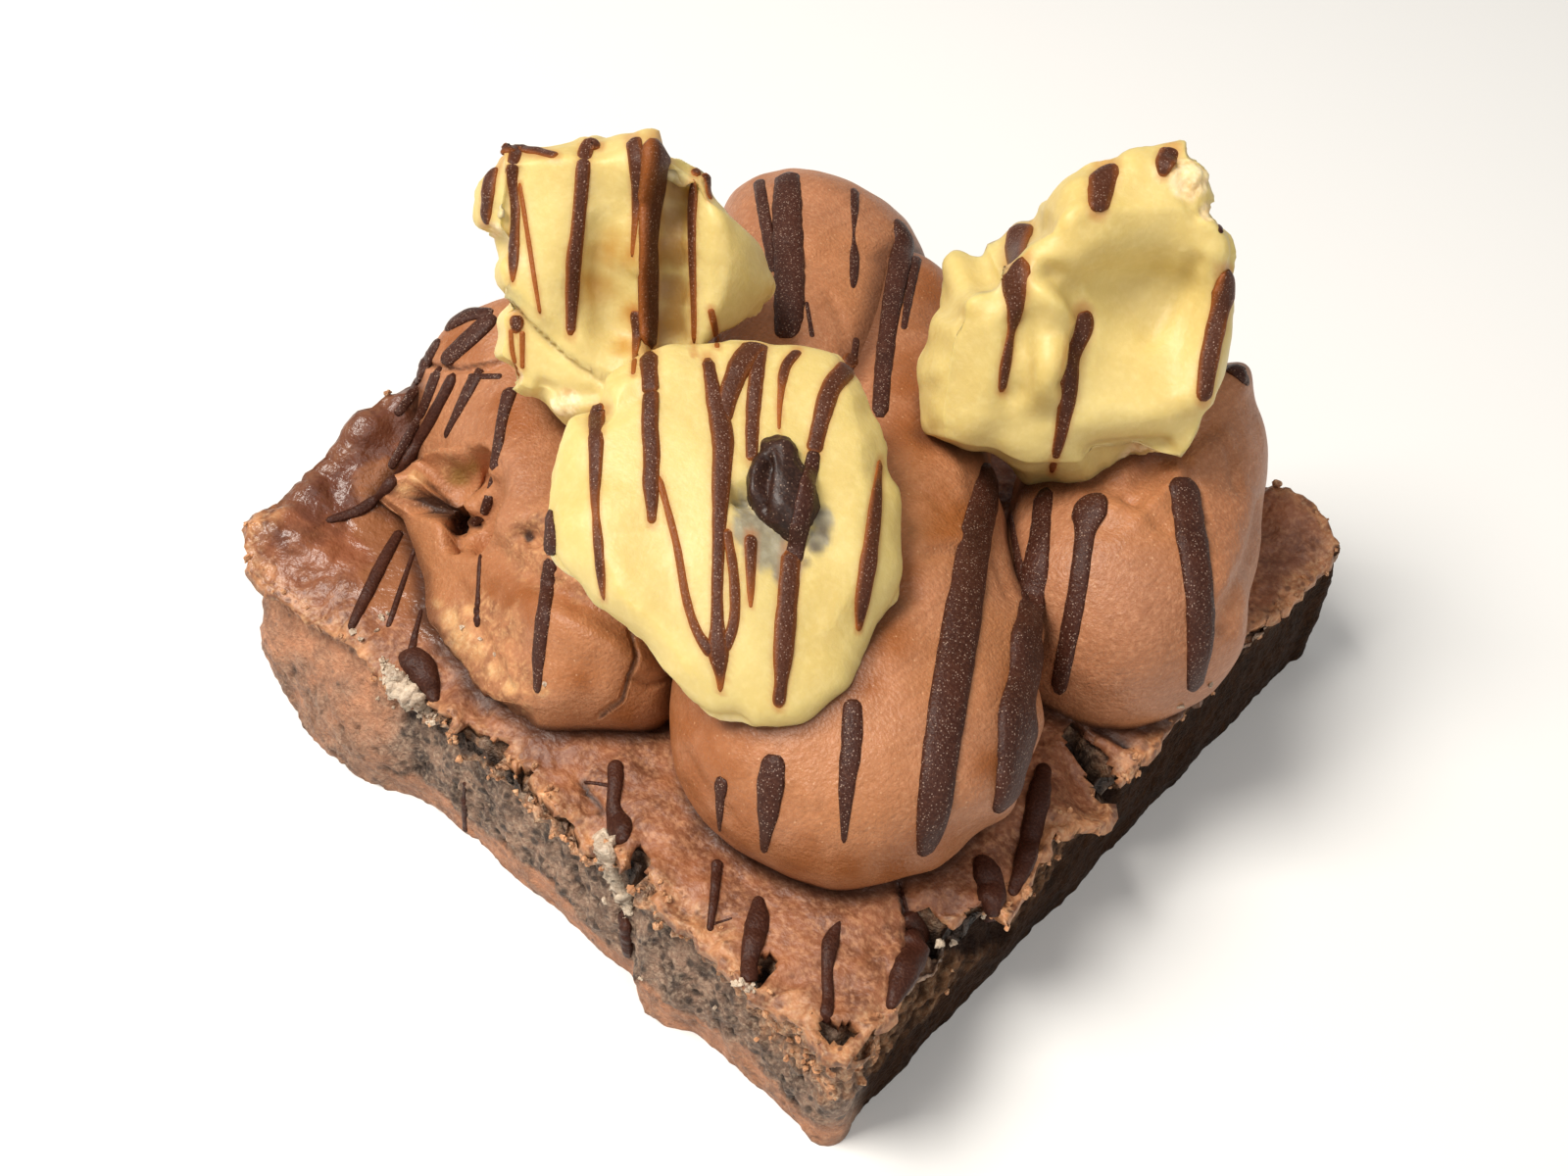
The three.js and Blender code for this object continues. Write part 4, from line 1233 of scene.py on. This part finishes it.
def dough_material():
    material, tree, shader, where = food_material("cookie_dough", *DOUGH_SURFACE)
    colour = layered(
        tree,
        mottled(tree, where, *DOUGH),
        torn=mottled(tree, where, *TORN_DOUGH),
        ochre=OCHRE_DOUGH,
        shaded=SHADED_DOUGH,
        melted=mottled(tree, where, *MELTED_GREY),
        steeped=STEEPED_DOUGH,
        stained=STAINED_DOUGH,
    )
    set_inputs(shader, Base_Color=colour, Specular_IOR_Level=DOUGH_SHINE, **DOUGH_GLOW)
    return material


def chip_material():
    material, tree, shader, where = food_material("dark_chip", *CHIP_SURFACE)
    colour = pitted(tree, where, mottled(tree, where, *CHIP), *CHIP_DUST)
    set_inputs(shader, Base_Color=colour, Specular_IOR_Level=CHIP_SHINE)
    return material


dough = dough_material()
chip = chip_material()
for name, lump in LUMPS.items():
    is_chip = name == "chocolate_chip"
    bpy.ops.mesh.primitive_cube_add(size=2)
    piece = new_piece(name + "_lump")
    bpy.ops.object.mode_set(mode="EDIT")
    bpy.ops.mesh.subdivide(number_cuts=CHIP_CUTS if is_chip else LUMP_CUTS)
    bpy.ops.object.mode_set(mode="OBJECT")
    made = [lump[part] for part in ("shape", "roundness", "pulls", "turn", "centre")]
    unit = points_of(piece)
    place = nudged(lump_points(unit, *made), lump["nudges"])
    place_points(piece, place)
    away = facing_camera(place, points_of(piece, "normal"), -2.5)[:, None]
    made[1] = max(made[1], BACK_ROUNDNESS)
    place_points(piece, place + away * (nudged(lump_points(unit, *made), lump["nudges"]) - place))
    carve(piece, lump["strokes"])
    place, normals = points_of(piece), points_of(piece, "normal")
    torn_here = np.zeros(len(place)) if is_chip else spots_at(place, TORN_SPOTS, 51)
    waves = layers_at(place, *(CHIP_WAVES if is_chip else LUMP_WAVES))
    grit = (CHIP_GRIT if is_chip else TORN_GRIT * torn_here) * layers_at(place, *LUMP_GRIT)
    hidden = facing_camera(place, normals, -4)
    if not is_chip:
        waves += hidden * layers_at(place, *BACK_FOLDS)
    place_points(piece, place + (waves + grit)[:, None] * normals)
    if is_chip:
        finish_piece(piece, chip, "dark_chocolate", name)
        continue
    toward = facing_camera(place, normals)
    broken_off = hidden * smooth(0.4 + 2 * noise_at(place, 3.0, 64))
    mark(piece, "torn", np.maximum(torn_here * toward, 0.6 * broken_off))
    for stain, (strength, stained_lump, spots, seed, softness) in STAINS.items():
        here = strength * (toward * (name == stained_lump))
        mark(piece, stain, here * spots_at(place, spots, seed, softness))
    finish_piece(piece, dough, "cookie_dough", name)

# Where the ropes and the lumps lie on the crust and on each other, the surface is darker: painted
# contact shade, with some fat and syrup soaked in. Each piece is marked by how near its neighbours
# come to it, once all of them are in place.
SOAKED_REACH = 0.0018


def touched(piece, others):
    """1 where a piece touches any of the others, falling to 0 at a distance from them."""
    trees = [BVHTree.FromObject(other, bpy.context.evaluated_depsgraph_get()) for other in others]
    near = np.zeros(len(piece.data.vertices))
    for i, vertex in enumerate(piece.data.vertices):
        for tree in trees:
            gap = tree.find_nearest(vertex.co, SOAKED_REACH)[3]
            if gap is not None:
                near[i] = max(near[i], 1 - gap / SOAKED_REACH)
    return smooth(1.15 * near)


ropes = [bpy.data.objects[name + "_rope"] for name in ROPES]
lumps = [bpy.data.objects[name + "_lump"] for name in LUMPS if name != "chocolate_chip"]
# Painted contact shade, with some fat soaked in, by nearness to the neighbours.
mark(crust, "soaked", 0.85 * touched(crust, ropes))
for rope in ropes:
    mark(rope, "soaked", 0.75 * touched(rope, [crust, *lumps, *(other for other in ropes if other != rope)]))

# The dark chocolate drizzle, flicked from a spoon in lines from the back to the front. Each line
# is given by the pixels it runs through with its width there, falls on whatever shows at them, and
# is a bead that has run a little wider at its head. On the dough its thin parts look amber.
DRIZZLE_ON_DOUGH = (
    ((510, 157, 12), (500, 185, 12), (495, 228, 8)),
    ((512, 152, 12), (540, 153, 12), (568, 159, 7)),
    ((527, 152, 12), (522, 178, 11), (526, 210, 8), (525, 245, 9), (524, 264, 10), (523, 288, 3)),
    ((530, 187, 4), (540, 250, 4), (545, 283, 4), (551, 320, 3)),
    (
        (612, 149, 8), (598, 151, 13), (593, 197, 12), (589, 240, 12), (586, 262, 14), (584, 300, 12),
        (582, 342, 8),
    ),
    ((646, 142, 15), (650, 168, 14), (650, 200, 10), (648, 225, 6), (645, 262, 3)),
    (
        (672, 148, 32), (668, 178, 27), (663, 222, 20), (662, 270, 18), (662, 318, 17), (662, 365, 17),
        (664, 402, 15),
    ),
    (
        (724, 203, 6), (721, 184, 8), (714, 171, 10), (708, 186, 8), (706, 245, 7), (708, 317, 5),
        (708, 362, 4),
    ),
    ((648, 317, 9), (650, 337, 9), (648, 360, 6), (646, 382, 4)),
    ((725, 315, 6), (730, 337, 6), (732, 355, 4)),
    ((527, 322, 13), (527, 332, 12), (525, 340, 5)),
    ((521, 336, 4), (523, 360, 4), (530, 386, 3)),
    ((533, 338, 5), (533, 376, 4)),
    (
        (616, 418, 12), (609, 424, 16), (608, 462, 13), (607, 505, 9), (608, 525, 7), (610, 550, 9),
        (613, 585, 8), (616, 612, 4),
    ),
    ((664, 398, 15), (663, 434, 15), (665, 462, 15), (664, 490, 15), (665, 512, 12), (665, 534, 8)),
    ((672, 486, 6), (690, 554, 7), (700, 610, 8), (712, 646, 9), (728, 668, 14)),
    (
        (722, 366, 12), (726, 390, 13), (732, 418, 18), (738, 450, 20), (736, 490, 17), (734, 538, 13),
        (732, 590, 11), (732, 634, 12), (733, 664, 20), (735, 690, 9), (735, 706, 4),
    ),
    ((772, 352, 24), (756, 372, 22), (744, 402, 18), (738, 430, 15)),
    ((741, 540, 9), (748, 580, 9), (750, 618, 10), (747, 642, 10), (738, 664, 12)),
    ((776, 352, 14), (772, 382, 14), (768, 426, 13), (767, 470, 11)),
    ((814, 358, 9), (801, 376, 10), (796, 410, 5), (795, 438, 3)),
    ((870, 362, 12), (864, 376, 18), (848, 396, 19), (838, 428, 16), (830, 462, 15)),
    ((808, 560, 18), (802, 630, 19), (799, 670, 18), (797, 696, 12), (795, 714, 12), (795, 722, 8)),
    ((766, 546, 11), (766, 566, 11), (766, 600, 7), (766, 620, 3)),
    ((898, 470, 5), (894, 510, 11), (888, 562, 15), (880, 612, 13), (876, 644, 5)),
    (
        (1042, 229, 24), (1038, 256, 27), (1037, 295, 24), (1035, 322, 14), (1032, 338, 7),
        (1027, 366, 10), (1022, 400, 7),
    ),
    ((1105, 318, 17), (1104, 338, 19), (1094, 364, 15), (1090, 400, 16), (1084, 436, 12), (1073, 482, 6)),
    ((1130, 170, 22), (1124, 190, 25), (1120, 216, 16)),
    ((1196, 152, 18), (1190, 164, 18), (1186, 180, 8)),
    ((1251, 276, 13), (1249, 298, 17), (1241, 333, 17), (1233, 372, 16), (1228, 409, 13)),
)
DRIZZLE_ELSEWHERE = (
    ((831, 460, 13), (826, 488, 18), (819, 525, 20), (809, 575, 18)),
    ((1031, 526, 6), (1036, 556, 8), (1043, 594, 12), (1049, 620, 14)),
    ((503, 319, 10), (478, 322, 16), (456, 334, 14)),
    ((448, 346, 10), (433, 374, 12), (419, 404, 10), (404, 424, 8)),
    ((803, 178, 26), (803, 221, 30), (805, 270, 32), (805, 320, 30), (802, 345, 26)),
    ((774, 184, 12), (779, 215, 13), (785, 250, 12), (788, 285, 9)),
    ((872, 193, 10), (872, 215, 8), (871, 240, 3), (872, 262, 10), (871, 285, 8), (870, 294, 3)),
    ((918, 226, 14), (922, 248, 24), (914, 290, 22), (907, 330, 19), (901, 380, 18), (897, 440, 16)),
    ((936, 262, 10), (928, 300, 9), (922, 336, 6)),
    ((823, 308, 4), (829, 344, 5)),
    ((874, 345, 7), (871, 366, 7), (868, 387, 3)),
    (
        (1012, 473, 30), (1006, 508, 35), (996, 547, 37), (983, 626, 40), (972, 690, 40), (961, 760, 38),
        (954, 821, 35), (949, 853, 28), (943, 873, 14),
    ),
    (
        (1065, 500, 22), (1061, 547, 23), (1054, 596, 29), (1050, 645, 36), (1042, 704, 40),
        (1035, 762, 40), (1028, 802, 36), (1021, 828, 18),
    ),
    ((1114, 506, 31), (1111, 526, 35), (1107, 545, 21), (1100, 598, 19), (1090, 652, 19), (1079, 707, 17)),
    ((1206, 488, 32), (1213, 530, 32), (1223, 598, 28), (1225, 652, 26), (1219, 704, 18)),
    ((870, 714, 20), (869, 758, 22), (864, 802, 17), (861, 860, 5)),
    ((790, 770, 25), (786, 802, 27), (783, 833, 21), (779, 870, 7)),
    ((738, 794, 14), (735, 808, 13), (734, 848, 4)),
    ((732, 878, 12), (729, 913, 10), (724, 950, 7)),
    ((727, 943, 3), (747, 937, 2)),
    ((774, 915, 10), (773, 942, 25), (765, 977, 19), (764, 1002, 17)),
    ((857, 940, 3), (848, 960, 17), (844, 991, 12), (845, 1019, 12), (842, 1042, 16)),
    ((628, 777, 17), (628, 798, 16), (626, 823, 15), (633, 845, 27), (637, 860, 15)),
    ((636, 930, 8), (639, 955, 13), (641, 976, 10)),
    ((918, 900, 3), (926, 932, 4)),
    ((926, 932, 18), (932, 956, 34), (930, 976, 32), (918, 1004, 24), (908, 1030, 9)),
    ((1000, 874, 16), (1010, 900, 30), (1012, 924, 26), (1007, 940, 10)),
    ((1066, 780, 14), (1060, 812, 24), (1052, 852, 22), (1044, 884, 20), (1032, 914, 10)),
    ((504, 322, 14), (480, 345, 17), (452, 370, 15)),
    ((596, 798, 3), (612, 800, 4), (628, 803, 4)),
    ((1252, 374, 9), (1262, 378, 15), (1274, 390, 11)),
    ((1238, 214, 6), (1244, 226, 8), (1246, 238, 5)),
    ((448, 374, 9), (428, 425, 10), (398, 478, 9)),
    ((464, 382, 9), (436, 436, 12), (404, 486, 12), (372, 518, 12), (333, 532, 7)),
    ((490, 376, 12), (472, 410, 11), (454, 446, 7)),
    ((512, 384, 6), (478, 384, 6)),
    ((521, 396, 16), (512, 430, 12), (504, 480, 10), (492, 527, 10), (466, 538, 6)),
    ((408, 542, 9), (390, 575, 13), (370, 616, 12), (357, 642, 7)),
    ((423, 560, 4), (406, 610, 6), (396, 640, 5)),
    ((490, 566, 4), (488, 605, 4), (488, 628, 8), (487, 640, 4)),
    ((560, 522, 12), (562, 570, 15), (556, 615, 15), (550, 665, 13), (548, 707, 7)),
    ((430, 622, 4), (424, 645, 6), (420, 664, 8)),
    ((408, 668, 14), (424, 676, 30), (436, 694, 26), (444, 716, 10)),
    ((474, 798, 4), (474, 825, 6), (475, 854, 5)),
)
LINE_RINGS = 44
LINE_SIDES = 12
LINE_RISE = 0.4  # of half the width, above the surface
DROP_RISE = 0.72  # the same for the drops that ran on to the crust
LINE_SINK = 0.5  # of half the width, below it
CRUST_TOP = 22
LINE_GAP = 6.0  # a longer step from ring to ring is an edge that the line has run over
LINE_WOBBLE, WOBBLE_LENGTH = 0.09, 1.6
LINE_STUB = 0.12  # of half the width, before its rounded end
WIDER_ON_DOUGH = 0.15
STEEPEST_LEAN = 0.62
THIN_LINE = 0.5
STAIN_REACH = 2  # in pixels, beyond the line's edge
CHOCOLATE_SURFACE = (0.44, 0.7, 0.00025, 4200.0, 1400.0, 0.6)
CHOCOLATE = ((62, 31, 21), (42, 19, 12), (118, 79, 61), 300.0, 0.5, 4200.0, 0.25)
# Painted glints on the lines over the buttercream and the dough: scale, size and share.
SPARKLES = (5200.0, 0.42, 0.42)
SPARKLE_COLOUR = (214, 184, 164)
AMBER = (150, 82, 28)
AMBER_AT_EDGE, AMBER_WHERE_THIN, AMBER_ALL_OVER = 0.65, 0.85, 0.08
CHOCOLATE_SHINE = 0.2


def drizzle_material():
    material, tree, shader, where = food_material("dark_chocolate", *CHOCOLATE_SURFACE)
    # Painted glints, on the lines marked for them.
    sparkle = product(tree, pores(tree, where, *SPARKLES), read_mark(tree, "sparkling"))
    dark = blend(tree, sparkle, mottled(tree, where, *CHOCOLATE), SPARKLE_COLOUR)
    coloured = layered(tree, dark, amber=AMBER)
    set_inputs(shader, Base_Color=coloured, Specular_IOR_Level=CHOCOLATE_SHINE)
    return material


surfaces = [BVHTree.FromObject(o, bpy.context.evaluated_depsgraph_get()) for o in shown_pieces()]


def under_pixel(x, y):
    """The first point that shows at a pixel, in millimetres, and the way the surface faces."""
    across, down = (x - PHOTO_SIZE[0] / 2) / FOCAL_PIXELS, (y - PHOTO_SIZE[1] / 2) / FOCAL_PIXELS
    ray = Vector(across * VIEW_RIGHT - down * VIEW_UP - VIEW_BACK).normalized()
    hits = [tree.ray_cast(Vector(CAMERA_PLACE * MM), ray) for tree in surfaces]
    hits = [hit for hit in hits if hit[0] is not None]
    if not hits:
        return None
    place, normal, face, distance = min(hits, key=lambda hit: hit[3])
    return np.array(place) / MM, np.array(normal), distance / MM


def runs_of(path):
    """The stretches of a drizzle line that lie on one surface: places, facings and half widths."""
    runs, run = [], []
    for x, y, width in spline(path, np.linspace(0, 1, LINE_RINGS)):
        hit = under_pixel(x, y)
        if run and (hit is None or np.linalg.norm(hit[0] - run[-1][0]) > LINE_GAP):
            runs.append(run)
            run = []
        if hit is not None:
            run.append((hit[0], hit[1], width / 2 * hit[2] / FOCAL_PIXELS))
    runs.append(run)
    return [tuple(map(np.array, zip(*run))) for run in runs if len(run) > 3]


def eased(values, times=2):
    for _ in range(times):
        between = (values[:-2] + 2 * values[1:-1] + values[2:]) / 4
        values = np.concatenate([values[:1], between, values[-1:]])
    return values


def lay_bead(places, facings, halves, amber):
    """A ball drawn out along a run of the drizzle, flattened on to the surface."""
    count = len(places)
    bpy.ops.mesh.primitive_uv_sphere_add(segments=LINE_SIDES, ring_count=count + 1, radius=1)
    bead = bpy.context.object
    unit = points_of(bead)
    ring = np.rint(np.arccos(np.clip(unit[:, 2], -1, 1)) / math.pi * (count + 1)).astype(int) - 1
    places, facings = eased(places), eased(facings, 6)
    facings /= np.linalg.norm(facings, axis=1)[:, None]
    ahead = np.gradient(places, axis=0)
    step = np.linalg.norm(ahead, axis=1)
    ahead /= step[:, None]
    sideways = np.cross(ahead, facings)
    to_camera = CAMERA_PLACE - places
    to_camera /= np.linalg.norm(to_camera, axis=1)[:, None]
    leaning = np.sum(sideways * to_camera, axis=1)
    halves = halves * (1 + WIDER_ON_DOUGH * amber) / np.clip(np.sqrt(1 - leaning**2), STEEPEST_LEAN, 1)
    travelled = np.cumsum(step)
    to_end = np.minimum(travelled - travelled[0], travelled[-1] - travelled) + LINE_STUB * halves
    tip = np.sqrt(np.clip(1 - (1 - np.clip(to_end / halves, 0, 1)) ** 2, 0, 1))
    wobble = noise_at(np.stack([travelled, *places.T[:2]], axis=1), WOBBLE_LENGTH, 61)
    halves = halves * tip * (1 + LINE_WOBBLE * wobble)
    here = np.clip(ring, 0, count - 1)
    pole = (ring < 0) | (ring >= count)
    angle = np.arctan2(unit[:, 1], unit[:, 0])
    size = np.where(pole, 0, halves[here])
    across = sideways[here] * (size * np.cos(angle))[:, None]
    is_high = places[:, 2].mean() > CRUST_TOP
    above = (LINE_RISE if is_high else DROP_RISE) * np.abs(np.sin(angle)) ** 0.85
    rise = np.where(np.sin(angle) > 0, above, LINE_SINK * np.sin(angle)) * size
    place_points(bead, places[here] + across + facings[here] * rise[:, None])
    edge = smooth(1.2 - 1.3 * np.abs(np.sin(angle)))
    thin = smooth((THIN_LINE - halves[here]) / 0.35)
    # Painted glints on the lines that lie high, over the buttercream and the dough.
    mark(bead, "sparkling", np.full(len(here), float(is_high)))
    shown = AMBER_AT_EDGE * edge + AMBER_WHERE_THIN * thin + AMBER_ALL_OVER
    mark(bead, "amber", amber * np.clip(shown, 0, 1))
    return bead


def joined(parts, name):
    bpy.ops.object.select_all(action="DESELECT")
    for part in parts:
        part.select_set(True)
    bpy.context.view_layer.objects.active = parts[0]
    bpy.ops.object.join()
    return new_piece(name)


beads = []
for amber, paths in ((1.0, DRIZZLE_ON_DOUGH), (0.0, DRIZZLE_ELSEWHERE)):
    for path in paths:
        beads += [lay_bead(*run, amber) for run in runs_of(path)]
drizzle = joined(beads, "drizzle")
face_outward()
for piece in lumps:
    pixels, depth = photo_pixels(points_of(piece) / MM)
    stain = np.zeros(len(pixels))
    for path in DRIZZLE_ON_DOUGH:
        for x, y, width in spline(path, np.linspace(0, 1, LINE_RINGS)):
            gap = np.hypot(pixels[:, 0] - x, pixels[:, 1] - y)
            stain = np.maximum(stain, smooth(1.5 - gap / (width / 2 + STAIN_REACH)))
    stain *= facing_camera(points_of(piece) / MM, points_of(piece, "normal"))
    mark(piece, "stained", 0.5 * stain)
finish_piece(drizzle, drizzle_material(), "dark_chocolate")

# Crumbs: tan ones shed along the torn rim and the broken side, and pale dry ones that stuck to the
# wet chocolate where it ran down. Each is a little ball knocked out of shape, pressed on where it
# fell.
CRUMB_POINTS = 42
CRUMB_SINK = 0.3  # of its size, above the surface at its middle
TAN_DOUBLINGS, PALE_DOUBLINGS = 9, 8
TAN_SIZE = (0.13, 0.34)
TAN_SPREAD = (0.7, 1.2)
LEDGE_WIDTH = 0.5
LEDGE_FOOT = 2
PALE_WIDTH = (2.5, 6.5)  # in pixels
CRUMB_STRETCH = (0.6, 1.25)
KNOCK_DEPTH, KNOCK_SIZE = 0.9, 0.8  # both of a crumb's half width
COAT_RAG = ((0.7, 0.9, 74), (0.5, 0.4, 75))
# Lines that pale crumbs cling to, how far beside them in pixels, and the share of all the crumbs.
PALE_LINES = (
    (((392, 674), (402, 694), (418, 712), (442, 738)), 6, 0.36),
    (((616, 850), (620, 880), (632, 905), (640, 934)), 5, 0.34),
    (((752, 1000), (770, 1010)), 5, 0.08),
)
# The rest of them lie in a heap: its pixel, its reach and the width of a crumb in it.
PALE_HEAP, HEAP_REACH, HEAP_CRUMB = (404, 702), 8, 4
# Chocolate under a coat of the palest dust: pixels and the width there.
COATED = (
    ((394, 676, 12), (403, 694, 20), (418, 710, 24), (438, 730, 14)),
    ((618, 850, 20), (621, 878, 20), (632, 904, 16), (640, 934, 10)),
)
PALE_SPOTS_ALONE = (
    (390, 630, 8), (384, 644, 6), (396, 626, 5), (361, 645, 7), (368, 652, 5), (541, 816, 5), (654, 998, 5),
    (730, 1028, 5), (1235, 698, 7), (1204, 720, 6), (1003, 933, 9), (1012, 930, 6), (472, 640, 5),
    (490, 652, 5), (505, 668, 4), (556, 698, 5), (960, 963, 12), (972, 960, 9), (618, 919, 6), (404, 700, 7),
)
LOOSE_SURFACE = (0.6, 1.0, 0.0004, 3600.0, 1500.0, 0.5)
LOOSE_MOTTLE = (900.0, 0.8, 2600.0, 0.5)
TAN = ((200, 142, 98), (122, 76, 50), (240, 204, 160))
PALE = ((204, 184, 160), (140, 114, 94), (238, 226, 206))


def pressed_crumbs(name, places, sizes, material, seed):
    """Little balls knocked out of shape, at their places, as one piece."""
    bpy.ops.mesh.primitive_ico_sphere_add(subdivisions=2, radius=1)
    piece = new_piece(name)
    bpy.ops.object.mode_set(mode="EDIT")
    while len(piece.data.vertices) < CRUMB_POINTS * len(places):
        bpy.ops.mesh.select_all(action="SELECT")
        bpy.ops.mesh.duplicate()
        piece.update_from_editmode()
    bpy.ops.object.mode_set(mode="OBJECT")
    chance = np.random.default_rng(seed)
    unit = points_of(piece).reshape(len(places), CRUMB_POINTS, 3)
    stretch = chance.uniform(*CRUMB_STRETCH, (len(places), 1, 3))
    shift = chance.uniform(0, 90, (len(places), 1, 3))
    knocks = noise_at((unit + shift).reshape(-1, 3), KNOCK_SIZE, seed)
    knocked = 1 + KNOCK_DEPTH * knocks.reshape(len(places), CRUMB_POINTS, 1)
    points = unit * stretch * knocked * np.reshape(sizes, (-1, 1, 1)) + places[:, None, :]
    place_points(piece, points.reshape(-1, 3))
    finish_piece(piece, material, "baked_brownie")
    piece.data.shade_flat()


def loose_crumb_material(name, colours):
    material, tree, shader, where = food_material(name, *LOOSE_SURFACE)
    set_inputs(shader, Base_Color=mottled(tree, where, *colours, *LOOSE_MOTTLE))
    return material


chance = np.random.default_rng(3)
ledge_points, ledge_facings, ledge_weights = [], [], []
for piece, layer in ((crumb, "crumbly"), (crust, "rim")):
    points = points_of(piece) / MM
    values = np.empty(len(points))
    piece.data.attributes[layer].data.foreach_get("value", values)
    outer = np.maximum(np.abs(points[:, 0]), np.abs(points[:, 1])) > CRUMB_HALF - LEDGE_WIDTH
    ledge_points.append(points)
    ledge_facings.append(points_of(piece, "normal"))
    ledge_weights.append(np.where(outer & (points[:, 2] > LEDGE_FOOT), values, 0) ** 2)
ledge_points, ledge_facings = np.vstack(ledge_points), np.vstack(ledge_facings)
ledge_weights = np.concatenate(ledge_weights)
chosen = chance.choice(len(ledge_points), 2**TAN_DOUBLINGS, False, ledge_weights / ledge_weights.sum())
sizes = chance.uniform(*TAN_SIZE, len(chosen)) * chance.uniform(*TAN_SPREAD, len(chosen))
places = ledge_points[chosen] + CRUMB_SINK * sizes[:, None] * ledge_facings[chosen]
pressed_crumbs("crumbs_tan", places, sizes, loose_crumb_material("tan_crumbs", TAN), 71)

pixels = list(PALE_SPOTS_ALONE)
for path, reach, share in PALE_LINES:
    count = int(share * 2**PALE_DOUBLINGS)
    along = spline([(*p, 0) for p in path], chance.uniform(0, 1, count))[:, :2]
    strewn = along + chance.normal(0, reach / 2, (count, 2))
    pixels += [(*p, width) for p, width in zip(strewn, chance.uniform(*PALE_WIDTH, count))]
while len(pixels) < 2**PALE_DOUBLINGS:
    pixels.append((*chance.normal(PALE_HEAP, HEAP_REACH), HEAP_CRUMB))
pale = loose_crumb_material("pale_crumbs", PALE)
coat = joined([lay_bead(*run, 0.0) for path in COATED for run in runs_of(path)], "crumb_coat")
place = points_of(coat)
ragged = layers_at(place, *COAT_RAG)
place_points(coat, place + ragged[:, None] * points_of(coat, "normal"))
finish_piece(coat, pale, "baked_brownie")

places, sizes = [], []
for x, y, width in pixels:
    hit = under_pixel(x, y)
    size = width / 2 * hit[2] / FOCAL_PIXELS
    places.append(hit[0] + CRUMB_SINK * size * hit[1])
    sizes.append(size)
pressed_crumbs("crumbs_pale", np.array(places), sizes, pale, 72)

# A plain pale floor and soft studio light: a large panel from the upper left and behind, a weak
# one from the right, and a pale sky all round.
FLOOR_SIZE = 3
FLOOR_COLOUR = (0.8, 0.8, 0.79, 1)
FLOOR_ROUGHNESS = 0.8
# The place of each panel, its size, watts and colour.
PANELS = {
    "key": ((-0.18, -0.24, 0.52), 0.26, 4.5, (1, 0.95, 0.88)),
    "fill": ((0.5, -0.2, 0.5), 0.5, 1.6, (1, 0.96, 0.92)),
}
SKY_COLOUR = (1, 0.99, 0.97, 1)
SKY_STRENGTH = 0.29

bpy.ops.mesh.primitive_plane_add(size=FLOOR_SIZE, location=(0, 0, 0))
floor = bpy.context.object
floor.name = "floor"
paper = bpy.data.materials.new("pale_floor")
paper.use_nodes = True
shader = paper.node_tree.nodes["Principled BSDF"]
set_inputs(shader, Base_Color=FLOOR_COLOUR, Roughness=FLOOR_ROUGHNESS)
floor.data.materials.append(paper)

for name, (place, size, watts, colour) in PANELS.items():
    light = bpy.data.objects.new(name, bpy.data.lights.new(name, "AREA"))
    bpy.context.scene.collection.objects.link(light)
    light.data.size = size
    light.data.energy = watts
    light.data.color = colour
    light.location = place
    light.rotation_euler = (-Vector(place)).to_track_quat("-Z", "Y").to_euler()

sky = bpy.data.worlds.new("sky")
sky.use_nodes = True
set_inputs(sky.node_tree.nodes["Background"], Color=SKY_COLOUR, Strength=SKY_STRENGTH)
bpy.context.scene.world = sky
